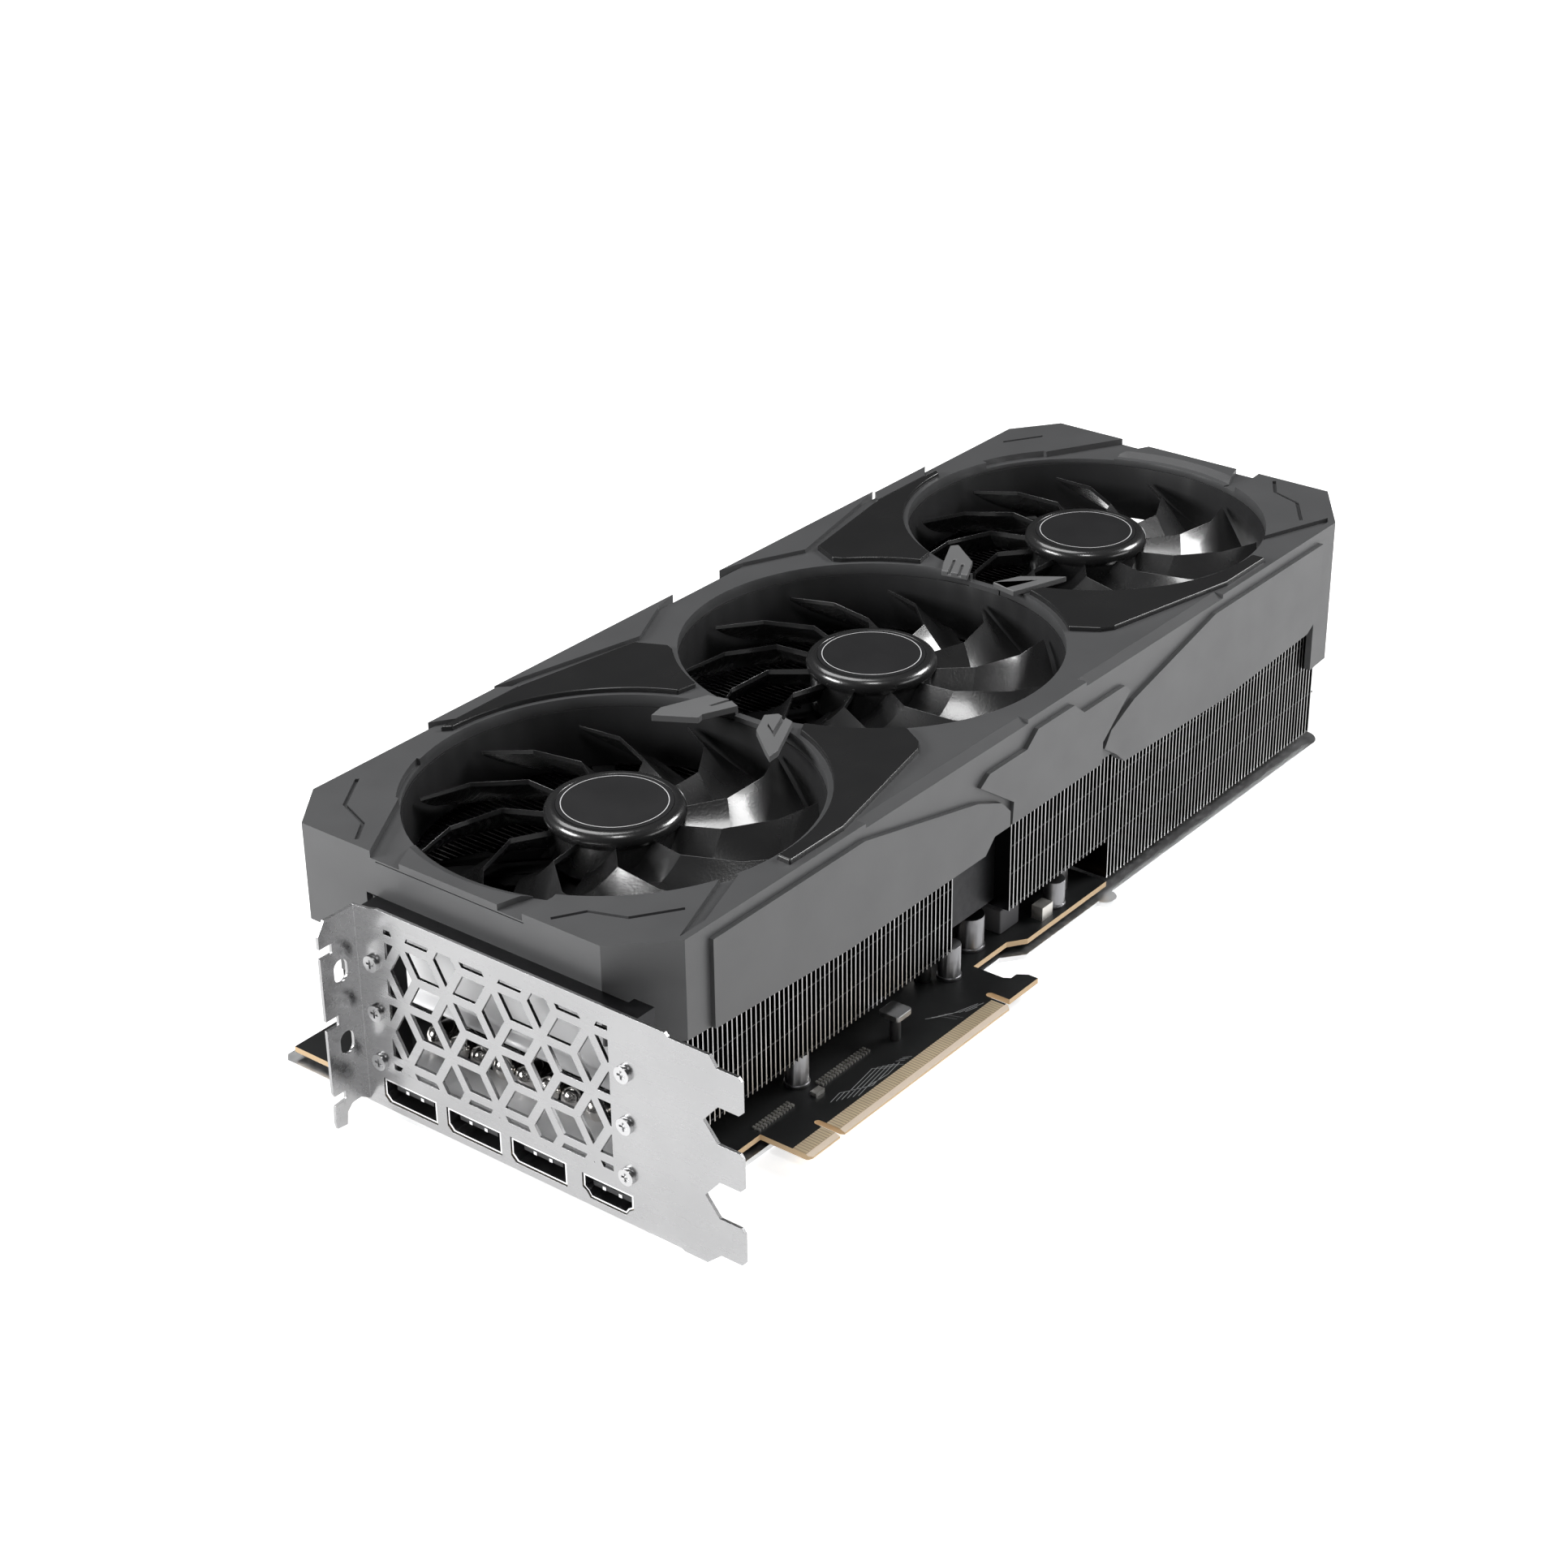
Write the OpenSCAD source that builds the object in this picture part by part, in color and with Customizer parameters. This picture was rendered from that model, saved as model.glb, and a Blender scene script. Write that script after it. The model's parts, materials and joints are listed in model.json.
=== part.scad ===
// Triple-fan, triple-slot graphics card.
// Card frame used by the sizes below: X runs from the outer face of the slot bracket to the tail,
// Y runs from the tips of the edge contacts across the board, Z rises from the board's component side.
// card_frame() moves that frame to the centre of the underside of the finished card.

/* [Cooler] */
// Length of the fan shroud from its front wall to its tail
shroud_l = 334; // [330:0.5:340]
// Height of the shroud's top face over the board
shroud_h = 68; // [66:0.5:70]
// Wall thickness of the shroud
shroud_wall = 2; // [1.6:0.1:2.2]
// Thickness of one cooling fin
fin_t = 0.4; // [0.3:0.05:0.5]
// Distance from one cooling fin to the next
fin_pitch = 1.8; // [1.7:0.05:2.4]

/* [Fans] */
// Distance between neighbouring fan axes
fan_pitch = 106.8; // [106.6:0.1:107.2]
// Radius of the round opening over each fan
opening_r = 53; // [52.6:0.1:53.1]
// Radius of the blade tips
tip_r = 50.8; // [49:0.1:51.4]
// Radius of the fan hub
hub_r = 18; // [17.6:0.1:19]
// Number of blades on each fan
blades = 11; // [7:1:13]

/* [Board] */
// Length of the circuit board
pcb_l = 196; // [192:0.5:197]
// Thickness of the circuit board
pcb_t = 1.57; // [1.5:0.01:1.7]
// Thickness of the backplate
back_t = 1.5; // [1:0.1:2]

/* [Bracket] */
// Sheet thickness of the slot bracket
sheet_t = 0.86; // [0.8:0.01:1]
// Distance between neighbouring expansion slots
slot_pitch = 20.32; // [20.32]
// Side of one rhombus in the vent lattice
vent_side = 10; // [9:0.5:11]
// Width of the struts of the vent lattice
vent_strut = 2.4; // [1.8:0.1:3]

/* [Hidden] */
$fn = 48;
eps = 0.01;

// Shroud outline and levels
front_x = 6;
tail_x = front_x + shroud_l;
left_y = 135.5;
right_y = 14.8;
panel_proud = 1.3;
strip_drop = 1.9;
bar_drop = 0.3;
wing_rise = 1.2;
right_low = 37;
right_high = 41;
fan_y = 75.5;
mid_x = front_x + shroud_l / 2 - 1.2;
fan_xs = [mid_x - fan_pitch, mid_x, mid_x + fan_pitch];
rim_wall = 1.4;
rim_low = shroud_h - 3.4;
duct_r = opening_r - 0.5;
duct_bottom = 47.5;

// Fan levels
hub_top = 64.6;
blade_top = 62;
blade_drop = 11.5;
hub_bottom = 50.4;
base_top = 47.5;
base_t = 2;
ear_r = 57;
ear_hole_r = 1.25;
arm_angles = [45, 135, 225, 315];
shaft_r = 1.5;
bearing_gap = 0.05;
cup_r = 15.6;

// Cooler levels
fin_top = 43.5;
fin_low = 11.3;
fin_tail_low = -0.8;
fin_y0 = 17.2;
fin_y1 = 133;
pipe_r = 3.4;
pipe_pitch = 7.5;
pipe_n = 8;
pipe_y0 = 43;
pipe_z = 11.5;
pipe_x0 = 15;
pipe_x1 = 313;
notch_low = pipe_z - pipe_r;
notch_z = pipe_z + pipe_r;
front_block = [22, 129];
rear_block = [155, 319];
tail_block_x = 203.8;

// Board, package and cold plate
pcb_x0 = 5;
pcb_x1 = pcb_x0 + pcb_l;
pcb_y0 = 15.5;
pcb_y1 = 135;
gpu_c = [100, 71];
substrate = 44;
substrate_t = 1.6;
die_top = 2.4;
chip_t = 1.1;
chip = [14, 12];
chip_ring = 33.5;
plate_x = [58, 142];
plate_y = [30, 112];
plate_top = pipe_z - pipe_r;
pad_clear = 0.8;

// Backplate
back_gap = 1.93;
back_top = -pcb_t - back_gap;
back_bottom = back_top - back_t;
back_x = [3, 322];
back_y = [14.3, 138];
post_r = 2.3;
screw_r = 1.25;

// Bracket
bracket_y1 = 103.5;
bracket_z0 = -0.6;
bracket_z1 = 57;
tab_w = 10.19;
tab_tip = -17;
tab_z0 = 2.6;
flange_x = -12;
flange_hole_x = -5.8;
flange_hole_z = 19.4;
flange_hole_r = 2.2;
slot_half = 1;
vent_y = [22, 93];
vent_z = [12.3, 52.2];
bracket_screw_y = [17.5, 97.5];
bracket_screw_z = [13, 27.1, 41.2];
dp_y = [46, 67, 88.3];
dp_w = 18;
dp_h = 6.9;
dp_z = 1.4;
hdmi_y = 24.2;
hdmi_w = 15.9;
hdmi_h = 6.4;
socket_l = 18;

// Whole card
card_low = back_bottom;
card_mid = [(flange_x + tail_x) / 2, (tab_tip + back_y[1]) / 2];

module card_frame() {
    translate([-card_mid[0], -card_mid[1], -card_low]) children();
}

// Extrudes an outline drawn in X and Z along +Y, starting at y.
module along_y(y, depth) {
    translate([0, y + depth, 0]) rotate([90, 0, 0]) linear_extrude(depth) children();
}

// Extrudes an outline drawn in Y and Z along +X, starting at x.
module along_x(x, depth) {
    translate([x, 0, 0]) rotate([90, 0, 90]) linear_extrude(depth) children();
}

module block(x, y, z) {
    translate([x[0], y[0], z[0]]) cube([x[1] - x[0], y[1] - y[0], z[1] - z[0]]);
}

// Draws its children twice, the second time mirrored about the middle fan's cross plane.
module both_ends() {
    children();
    rear_end() children();
}

module rear_end() {
    translate([2 * mid_x, 0, 0]) mirror([1, 0, 0]) children();
}

// Draws its children at the front edge of the shroud and mirrored at the tail edge.
module both_edges() {
    children();
    tail_edge() children();
}

module tail_edge() {
    translate([front_x + tail_x, 0, 0]) mirror([1, 0, 0]) children();
}

// ---------------------------------------------------------------- shroud

front_right_cut = 13.5;
tail_right_cut = 20;

module plan_outline() {
    polygon([
        [front_x, 28.5], [front_x + front_right_cut, right_y], [tail_x - tail_right_cut, right_y],
        [tail_x, 28.5], [tail_x, 125], [tail_x - 14, left_y], [front_x + 14, left_y], [front_x, 125]
    ]);
}

module plan_inside() {
    w = shroud_wall;
    polygon([
        [front_x + w, 29.5], [front_x + front_right_cut + 0.9, right_y + w],
        [tail_x - tail_right_cut - 0.7, right_y + w], [tail_x - w, 29.5], [tail_x - w, 124],
        [tail_x - 14.8, left_y - w], [front_x + 14.8, left_y - w], [front_x + w, 124]
    ]);
}

// Lower edge of the two long walls, as seen from the side, with the space under it.
module long_wall_cut() {
    polygon([
        [front_x - 5, -1], [front_x - 5, right_high], [front_x + front_right_cut, right_high], [80, right_low],
        [138, right_low], [142, right_high], [200, right_high], [204.5, right_low], [256, right_low - 2],
        [305, right_low + 0.5], [311, right_high], [311, 23], [tail_x + 5, 25.5], [tail_x + 5, -1]
    ]);
}

// Raised panels of the right wall: front, middle and rear.
module side_panels() {
    polygon([
        [28, right_high - 0.6], [28, 64.5], [86, 64.5], [134, 54], [145, 49.5], [149, 45.5], [149, right_high],
        [142, right_high], [138, right_low], [80, right_low]
    ]);
    polygon([
        [150, right_high], [150.5, 47.5], [135, 58], [139, 60.5], [156, 60.5], [161, 64.5], [178, 64.5],
        [183, 60.5], [203, 60.5], [206, 58], [193, 47.5], [193, right_high]
    ]);
    polygon([
        [200, right_high], [204.5, right_low], [256, right_low - 2], [305, right_low + 0.5],
        [311, right_high], [311, 64.5], [250, 64.5], [208, 54.5], [197, 49.5], [194, 45]
    ]);
}

module fan_holes(r) {
    for (x = fan_xs) translate([x, fan_y]) circle(r = r, $fn = 96);
}

// Middle of each short end, which steps down from the corner blocks and reaches along the opening's rim.
module end_steps() {
    polygon([
        [front_x - 4, 52.6], [15.9, 51.8], [40, 58], [40, 105], [29.3, 115], [front_x - 4, 99.4]
    ]);
    intersection() {
        translate([fan_xs[0], fan_y]) circle(r = opening_r + 1, $fn = 96);
        polygon([[fan_xs[0], fan_y], [29.3, 114.8], [30, 128], [47, 128]]);
    }
}

// Raised bar in the middle of the step.
module end_bar() {
    polygon([[front_x - 4, 61.3], [11.3, 58.8], [16, 57], [40, 70], [40, 97], [15.5, 96.7], [front_x - 4, 90]]);
}

// Sloping lip where the bar meets the fan opening.
module bar_lip() {
    slope = 1.2;
    intersection() {
        translate([fan_xs[0], fan_y, shroud_h - bar_drop - slope])
            cylinder(r1 = opening_r - 0.3, r2 = opening_r + 2.4, h = slope + eps, $fn = 96);
        linear_extrude(100) end_bar();
    }
}

// Land between two openings: the plate is cut down there to a narrow strip.
land_w = 2.2;
land_y = [69.4, 79.6];
land_z = shroud_h - 2;

module lands(z0, z1, width) {
    for (i = [0, 1]) translate([(fan_xs[i] + fan_xs[i + 1]) / 2 - width / 2, land_y[0], z0])
        cube([width, land_y[1] - land_y[0], z1 - z0]);
}

// Zig-zag groove of a corner; side is the step from its centre line to one edge.
module zigzag(points, side) {
    n = len(points);
    polygon(concat([for (p = points) p + side], [for (i = [1:n]) points[n - i] - side]));
}

left_groove = [[30.5, 130.6], [19, 123.3], [15, 113], [8.2, 108.3]];
right_groove = [[8.4, 45.6], [15.9, 41], [19.4, 31.5], [30.5, 23.8]];

// The left groove is whole at the front and only its first stroke at the tail.
module corner_grooves() {
    zigzag(left_groove, [-0.4, 0.4]);
    zigzag(right_groove, [-0.4, -0.4]);
    tail_edge() {
        zigzag([left_groove[0], left_groove[1]], [-0.4, 0.4]);
        zigzag(right_groove, [-0.4, -0.4]);
    }
}

// Diagonal channel from each right corner to the fan opening.
module corner_channel() {
    polygon([[18.8, 13.5], [21, 14], [50, 23.8], [50, 27.7], [19.3, 16.6], [17, 16]]);
}

// Shallow bevel along the right edge of the top.
module edge_bevel() {
    along_x(88, 70) polygon([
        [right_y - 2, shroud_h + 1], [right_y + 3, shroud_h + 1], [right_y + 3, shroud_h - eps],
        [right_y - 2, shroud_h - 2]
    ]);
}

// Wing along the left edge of the top.
module left_wing() {
    polygon([[88, 137.5], [96, left_y], [134.8, 127], [153, left_y], [161.5, 137.5]]);
}

module left_step() {
    polygon([[62, 136.6], [68, left_y - 3], [92, left_y - 3], [88, 136.6]]);
}

// Outline shared by an accent panel and its seat; grow is the gap left around the panel.
module right_accent() {
    difference() {
        polygon([
            [61, 17], [82, 17], [126, 26.5], [129.5, 29], [135, 38], [124.6, 61], [118.4, 57.9],
            [108, 53], [62, 40]
        ]);
        fan_holes(opening_r + rim_wall);
    }
}

module left_accent() {
    difference() {
        polygon([
            [62, left_y - 3.4], [93, left_y - 3.4], [131, 125.5], [135, 117], [125, 95], [114, 97],
            [90, 97], [72, 122]
        ]);
        fan_holes(opening_r + rim_wall);
    }
}

module shroud_top() {
    difference() {
        union() {
            translate([0, 0, shroud_h - shroud_wall]) linear_extrude(shroud_wall) plan_outline();
            translate([0, 0, rim_low]) linear_extrude(shroud_h - rim_low - 1) both_edges() intersection() {
                end_steps();
                plan_outline();
            }
            translate([0, 0, rim_low]) linear_extrude(shroud_h - rim_low - 1)
                fan_holes(opening_r + rim_wall);
            translate([0, 0, shroud_h - shroud_wall]) linear_extrude(shroud_wall + wing_rise) both_ends() {
                left_wing();
                left_step();
            }
        }
        translate([0, 0, shroud_h - 0.8]) linear_extrude(5) corner_grooves();
        translate([0, 0, shroud_h - 1.2]) linear_extrude(5) both_edges() corner_channel();
        both_ends() edge_bevel();
    }
}

// Takes the steps and bars off the two short ends.
module end_cuts() {
    translate([0, 0, shroud_h - strip_drop]) linear_extrude(5) difference() {
        end_steps();
        end_bar();
    }
    translate([0, 0, shroud_h - bar_drop]) linear_extrude(5) end_bar();
    bar_lip();
    block([front_x - 1, front_x + 0.4], [52, 100], [shroud_h - 2.6, shroud_h - 2.3]);
}

module fan_screw_holes(depth) {
    for (x = fan_xs, a = arm_angles) translate([x, fan_y, duct_bottom - eps]) rotate([0, 0, a])
        translate([ear_r, 0, 0]) cylinder(r = ear_hole_r, h = depth);
}

module shroud_walls() {
    difference() {
        union() {
            linear_extrude(shroud_h) difference() {
                plan_outline();
                plan_inside();
            }
            intersection() {
                along_y(right_y - panel_proud, panel_proud + 0.5) side_panels();
                block([27, 313], [0, 30], [0, shroud_h]);
            }
        }
        along_y(right_y - 3, 20) long_wall_cut();
        along_y(left_y - 20, 25) long_wall_cut();
        block([front_x - 3, front_x + shroud_wall + 0.2], [29, 104], [-1, 56]);
        block([front_x - 3, front_x + 25], [100, left_y + 3], [-1, 30]);
        block([tail_x - 18, tail_x + 3], [30, 123], [-1, 44]);
        both_ends() edge_bevel();
    }
}

// Screw bosses that tie the shroud to the fin stacks.
boss_spots = [[30, 126], [30, 24], [312, 126], [312, 24]];
boss_r = 3;

module shroud() card_frame() color("#55585b") difference() {
    union() {
        difference() {
            union() {
                shroud_top();
                shroud_walls();
            }
            linear_extrude(100) fan_holes(opening_r);
            both_edges() end_cuts();
            lands(land_z, 100, 8);
        }
        lands(rim_low, land_z, land_w);
        for (p = boss_spots) translate([p[0], p[1], fin_top]) cylinder(r = boss_r, h = 66.5 - fin_top);
    }
    translate([0, 0, shroud_h - 1.2]) linear_extrude(5) both_ends() {
        right_accent();
        left_accent();
    }
    for (p = boss_spots) translate([p[0], p[1], fin_top - eps]) cylinder(r = screw_r, h = 9);
}

// Black ducts in one piece: three joined rings with ears for the fan screws.
module fan_ducts() card_frame() color("#1b1c1e") difference() {
    translate([0, 0, duct_bottom]) {
        linear_extrude(rim_low - duct_bottom) fan_holes(opening_r + rim_wall);
        for (x = fan_xs, a = arm_angles) translate([x, fan_y, 0]) rotate([0, 0, a])
            translate([ear_r, 0, 0]) cylinder(r = 3.4, h = 8);
    }
    linear_extrude(100) fan_holes(duct_r);
    fan_screw_holes(5);
}

// ---------------------------------------------------------------- trim on the shroud

accent_t = 2.6;

module accent_slab() {
    translate([0, 0, shroud_h - 1.2]) linear_extrude(accent_t) children();
}

module accent_panel_left_front() card_frame() color("#2c2d2f") accent_slab() left_accent();

module accent_panel_left_rear() card_frame() color("#2c2d2f") accent_slab() rear_end() left_accent();

module accent_panel_right_front() card_frame() color("#2c2d2f") accent_slab() right_accent();

module accent_panel_right_rear() card_frame() color("#2c2d2f") accent_slab() rear_end() right_accent();

emblem_low = shroud_h;
emblem_t = 1.8;

// Angular bar with shallow cuts in its face.
module emblem_bar(outline, cuts) {
    difference() {
        translate([0, 0, emblem_low]) linear_extrude(emblem_t) polygon(outline);
        for (cut = cuts) translate([0, 0, emblem_low + emblem_t - 0.9]) linear_extrude(2) polygon(cut);
    }
}

// Front pair: a long arrow with one slit, and a shield with a V-shaped cut.
module emblem_bars_front() card_frame() color("#6f7174") {
    emblem_bar(
        [[99.1, 92.4], [104, 93.3], [117, 88], [118.4, 81.9], [116.6, 77.8], [107.2, 82.1], [105.2, 81.7]],
        [[[112.3, 84], [119, 81.9], [118.6, 80.8], [112.6, 83.1]]]
    );
    emblem_bar(
        [[108.7, 65.3], [116.6, 69], [119.4, 66.5], [118, 60.8], [102.9, 53.7], [99.1, 53.4], [101.6, 56.8]],
        [[[112.2, 64.4], [108.4, 59.2], [120, 64.2], [120, 65.4], [110.9, 61.6], [113.4, 65.1]]]
    );
}

// Rear pair: a block with two slits, and a pointed blade with one.
module emblem_bars_rear() card_frame() color("#6f7174") {
    emblem_bar(
        [[219, 85.8], [224.3, 88.9], [235, 94.1], [237, 92.5], [229.6, 82.4], [220.6, 77.8]],
        [
            [[219, 83.6], [227.4, 87.6], [227.7, 86.9], [219, 82.8]],
            [[219, 80.3], [226, 83.8], [226.3, 83.1], [219, 79.4]]
        ]
    );
    emblem_bar(
        [[220.9, 69.4], [229.3, 65.5], [236.8, 54.8], [219.2, 61.1]],
        [[[220.6, 65], [229, 61.4], [229.2, 60.6], [220.4, 64.2]]]
    );
}

// Cross-head screw standing on +Z, its head's underside at z = 0.
module screw(head_r, head_h, shank_r, shank_l) {
    difference() {
        translate([0, 0, -head_h]) cylinder(r = head_r, h = head_h);
        for (a = [0, 90]) rotate([0, 0, a]) translate([-head_r * 0.55, -0.3, -head_h - eps])
            cube([head_r * 1.1, 0.6, head_h * 0.55]);
    }
    cylinder(r = shank_r, h = shank_l);
}

module shroud_screws() card_frame() color("#3a3b3d") {
    for (p = boss_spots) translate([p[0], p[1], fin_top]) screw(2.6, 1.4, screw_r, 8);
}

// ---------------------------------------------------------------- fans

badge_r = 14.8;
badge_t = 0.5;
shoulder = 2.4;
blade_root_r = hub_r - 1.2;

// Blade stations from root to tip: radius, sweep of the leading edge, drop of the leading edge,
// chord as an angle, drop across the chord and thickness.
stations = [
    [blade_root_r, 0, 0.9, 27, 8.2, 1.7],
    [28.5, 1, 0, 26, 10, 1.5],
    [41, 14.5, 0.2, 25, blade_drop, 1.3],
    [tip_r, 27, 1, 22, blade_drop - 1.5, 1]
];
// Points across the chord: share of the chord, share of the drop.
chord_points = [[0, 0], [0.42, 0.58], [1, 1]];

function blade_point(s, c, side) =
    let (a = s[1] - c[0] * s[3], z = blade_top - s[2] - c[1] * s[4] - side * s[5])
    [s[0] * cos(a), s[0] * sin(a), z];

module blade() {
    n = len(chord_points);
    m = len(stations);
    points = [for (side = [0, 1], s = stations, c = chord_points) blade_point(s, c, side)];
    function at(side, i, j) = side * n * m + i * n + j;
    top = [for (i = [0:m - 2], j = [0:n - 2]) each [
        [at(0, i, j), at(0, i, j + 1), at(0, i + 1, j + 1)],
        [at(0, i, j), at(0, i + 1, j + 1), at(0, i + 1, j)]
    ]];
    low = [for (i = [0:m - 2], j = [0:n - 2]) each [
        [at(1, i, j), at(1, i + 1, j + 1), at(1, i, j + 1)],
        [at(1, i, j), at(1, i + 1, j), at(1, i + 1, j + 1)]
    ]];
    lead = [for (i = [0:m - 2]) each [
        [at(0, i, 0), at(0, i + 1, 0), at(1, i + 1, 0)],
        [at(0, i, 0), at(1, i + 1, 0), at(1, i, 0)]
    ]];
    trail = [for (i = [0:m - 2]) each [
        [at(0, i, n - 1), at(1, i + 1, n - 1), at(0, i + 1, n - 1)],
        [at(0, i, n - 1), at(1, i, n - 1), at(1, i + 1, n - 1)]
    ]];
    root = [for (j = [0:n - 2]) each [
        [at(0, 0, j), at(1, 0, j + 1), at(0, 0, j + 1)],
        [at(0, 0, j), at(1, 0, j), at(1, 0, j + 1)]
    ]];
    tip = [for (j = [0:n - 2]) each [
        [at(0, m - 1, j), at(0, m - 1, j + 1), at(1, m - 1, j + 1)],
        [at(0, m - 1, j), at(1, m - 1, j + 1), at(1, m - 1, j)]
    ]];
    polyhedron(points, [for (face = concat(top, low, lead, trail, root, tip)) [face[2], face[1], face[0]]]);
}

module hub() {
    shoulder_z = hub_top - shoulder;
    rotate_extrude($fn = 72) polygon(concat(
        [
            [shaft_r, 57.6], [3.4, 57.6], [3.4, 60.5], [cup_r, 60.5], [cup_r, hub_bottom],
            [hub_r, hub_bottom]
        ],
        [for (a = [0:15:90]) [hub_r - shoulder + shoulder * cos(a), shoulder_z + shoulder * sin(a)]],
        [
            [badge_r, hub_top], [badge_r, hub_top - badge_t], [0, hub_top - badge_t], [0, 62.6],
            [shaft_r, 62.6]
        ]
    ));
}

module at_fan(i) {
    translate([fan_xs[i], fan_y, 0]) children();
}

module fan_rotor(i, start) card_frame() color("#202123") at_fan(i) {
    hub();
    for (k = [0:blades - 1]) rotate([0, 0, start + k * 360 / blades]) blade();
}

module fan_badge(i) card_frame() color("#17181a") at_fan(i) translate([0, 0, hub_top - badge_t]) {
    cylinder(r = badge_r, h = badge_t - 0.1, $fn = 72);
    difference() {
        cylinder(r = 13.7, h = badge_t, $fn = 72);
        translate([0, 0, -1]) cylinder(r = 13.4, h = 3, $fn = 72);
    }
}

module fan_shaft(i) card_frame() color("#c8cacc") at_fan(i)
    translate([0, 0, base_top - base_t + 0.6]) cylinder(r = shaft_r, h = 62.6 - base_top + base_t - 0.6);

module fan_magnet_ring(i) card_frame() color("#77797c") at_fan(i) translate([0, 0, hub_bottom + 0.4])
    difference() {
        cylinder(r = cup_r, h = 60.5 - hub_bottom - 0.4);
        translate([0, 0, -1]) cylinder(r = cup_r - 1.5, h = 20);
    }

tube_r = 4;
stator_r = 13;
poles = 6;

module fan_stator(i) card_frame() color("#b06a3a") at_fan(i) translate([0, 0, 49.5]) difference() {
    union() {
        cylinder(r = 6.4, h = 7);
        intersection() {
            difference() {
                cylinder(r = stator_r, h = 7);
                translate([0, 0, -1]) cylinder(r = stator_r - 1.4, h = 9);
            }
            for (k = [0:poles - 1]) rotate([0, 0, k * 360 / poles])
                translate([0, -4.8, 0]) cube([stator_r + 1, 9.6, 7]);
        }
        for (k = [0:poles - 1]) rotate([0, 0, k * 360 / poles])
            translate([5, -2, 0.8]) cube([stator_r - 6, 4, 5.4]);
    }
    translate([0, 0, -1]) cylinder(r = tube_r, h = 9);
}

module fan_frame(i) card_frame() color("#1d1e20") at_fan(i) difference() {
    union() {
        translate([0, 0, base_top - base_t]) cylinder(r = 19.5, h = base_t);
        translate([0, 0, base_top - base_t]) cylinder(r = tube_r, h = 57 - base_top + base_t);
        for (a = arm_angles) rotate([0, 0, a]) {
            translate([10, -3, base_top - base_t]) cube([ear_r - 10, 6, base_t]);
            translate([ear_r, 0, base_top - base_t]) cylinder(r = 3.4, h = base_t);
        }
    }
    translate([0, 0, base_top - base_t + 0.5]) cylinder(r = shaft_r + bearing_gap, h = 30);
    for (a = arm_angles) rotate([0, 0, a]) translate([ear_r, 0, 0]) cylinder(r = ear_hole_r, h = 100);
}

module fan_screws() card_frame() color("#3a3b3d") {
    for (x = fan_xs, a = arm_angles) translate([x, fan_y, base_top - base_t]) rotate([0, 0, a])
        translate([ear_r, 0, 0]) screw(2.3, 1.1, ear_hole_r, 6.5);
}

blade_starts = [25, 4.6, 16.5];

module fan_1_rotor() fan_rotor(0, blade_starts[0]);
module fan_1_badge() fan_badge(0);
module fan_1_shaft() fan_shaft(0);
module fan_1_magnet_ring() fan_magnet_ring(0);
module fan_1_stator() fan_stator(0);
module fan_1_frame() fan_frame(0);
module fan_2_rotor() fan_rotor(1, blade_starts[1]);
module fan_2_badge() fan_badge(1);
module fan_2_shaft() fan_shaft(1);
module fan_2_magnet_ring() fan_magnet_ring(1);
module fan_2_stator() fan_stator(1);
module fan_2_frame() fan_frame(1);
module fan_3_rotor() fan_rotor(2, blade_starts[2]);
module fan_3_badge() fan_badge(2);
module fan_3_shaft() fan_shaft(2);
module fan_3_magnet_ring() fan_magnet_ring(2);
module fan_3_stator() fan_stator(2);
module fan_3_frame() fan_frame(2);

// ---------------------------------------------------------------- heatsink

notch_y = [pipe_y0 - pipe_r - 0.4, pipe_y0 + (pipe_n - 1) * pipe_pitch + pipe_r + 0.4];

// Outline of one fin; low is its lower edge. The heat pipes run through a window, which is open
// below in the fins that end at the pipes' height.
module fin_outline(low) {
    difference() {
        translate([fin_y0, low]) square([fin_y1 - fin_y0, fin_top - low]);
        translate([notch_y[0], notch_low]) square([notch_y[1] - notch_y[0], notch_z - notch_low]);
    }
}

// Row of fins between two places along the card.
module fins(x0, x1, low) {
    n = floor((x1 - x0 - fin_t) / fin_pitch);
    for (i = [0:n]) along_x(x0 + i * fin_pitch, fin_t) fin_outline(low);
}

// Flat rail that ties the fins together at the ends of their top edges.
module fin_rails(x0, x1) {
    for (y = [[fin_y0 + 5, fin_y0 + 6], [fin_y1 - 6, fin_y1 - 5]])
        block([x0, x1], y, [fin_top - 10, fin_top - 8]);
}

module screw_pockets() {
    for (p = boss_spots) translate([p[0], p[1], fin_top - 3]) cylinder(r = 4.2, h = 5);
}

module fin_stack_front() card_frame() color("#b4b6b8") difference() {
    union() {
        fins(front_block[0], front_block[1], fin_low);
        fin_rails(front_block[0], front_block[1]);
    }
    screw_pockets();
}

module fin_stack_rear() card_frame() color("#b4b6b8") difference() {
    union() {
        fins(rear_block[0], tail_block_x - 1, fin_low);
        fins(tail_block_x, rear_block[1], fin_tail_low);
        fin_rails(rear_block[0], rear_block[1]);
    }
    screw_pockets();
}

module fin_bridge_plate() card_frame() color("#2b2c2e") {
    bridge = [front_block[1], rear_block[0]];
    difference() {
        block(bridge, [fin_y0 + 5, fin_y1 - 5], [fin_top - 3, fin_top - 1]);
        block([bridge[0] + 4, bridge[1] - 4], [fin_y0 + 20, fin_y1 - 20], [0, 60]);
    }
    block(bridge, [fin_y0 + 5, fin_y0 + 6.5], [fin_low + 2, fin_top - 1]);
    block(bridge, [fin_y1 - 6.5, fin_y1 - 5], [fin_low + 2, fin_top - 1]);
}

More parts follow.
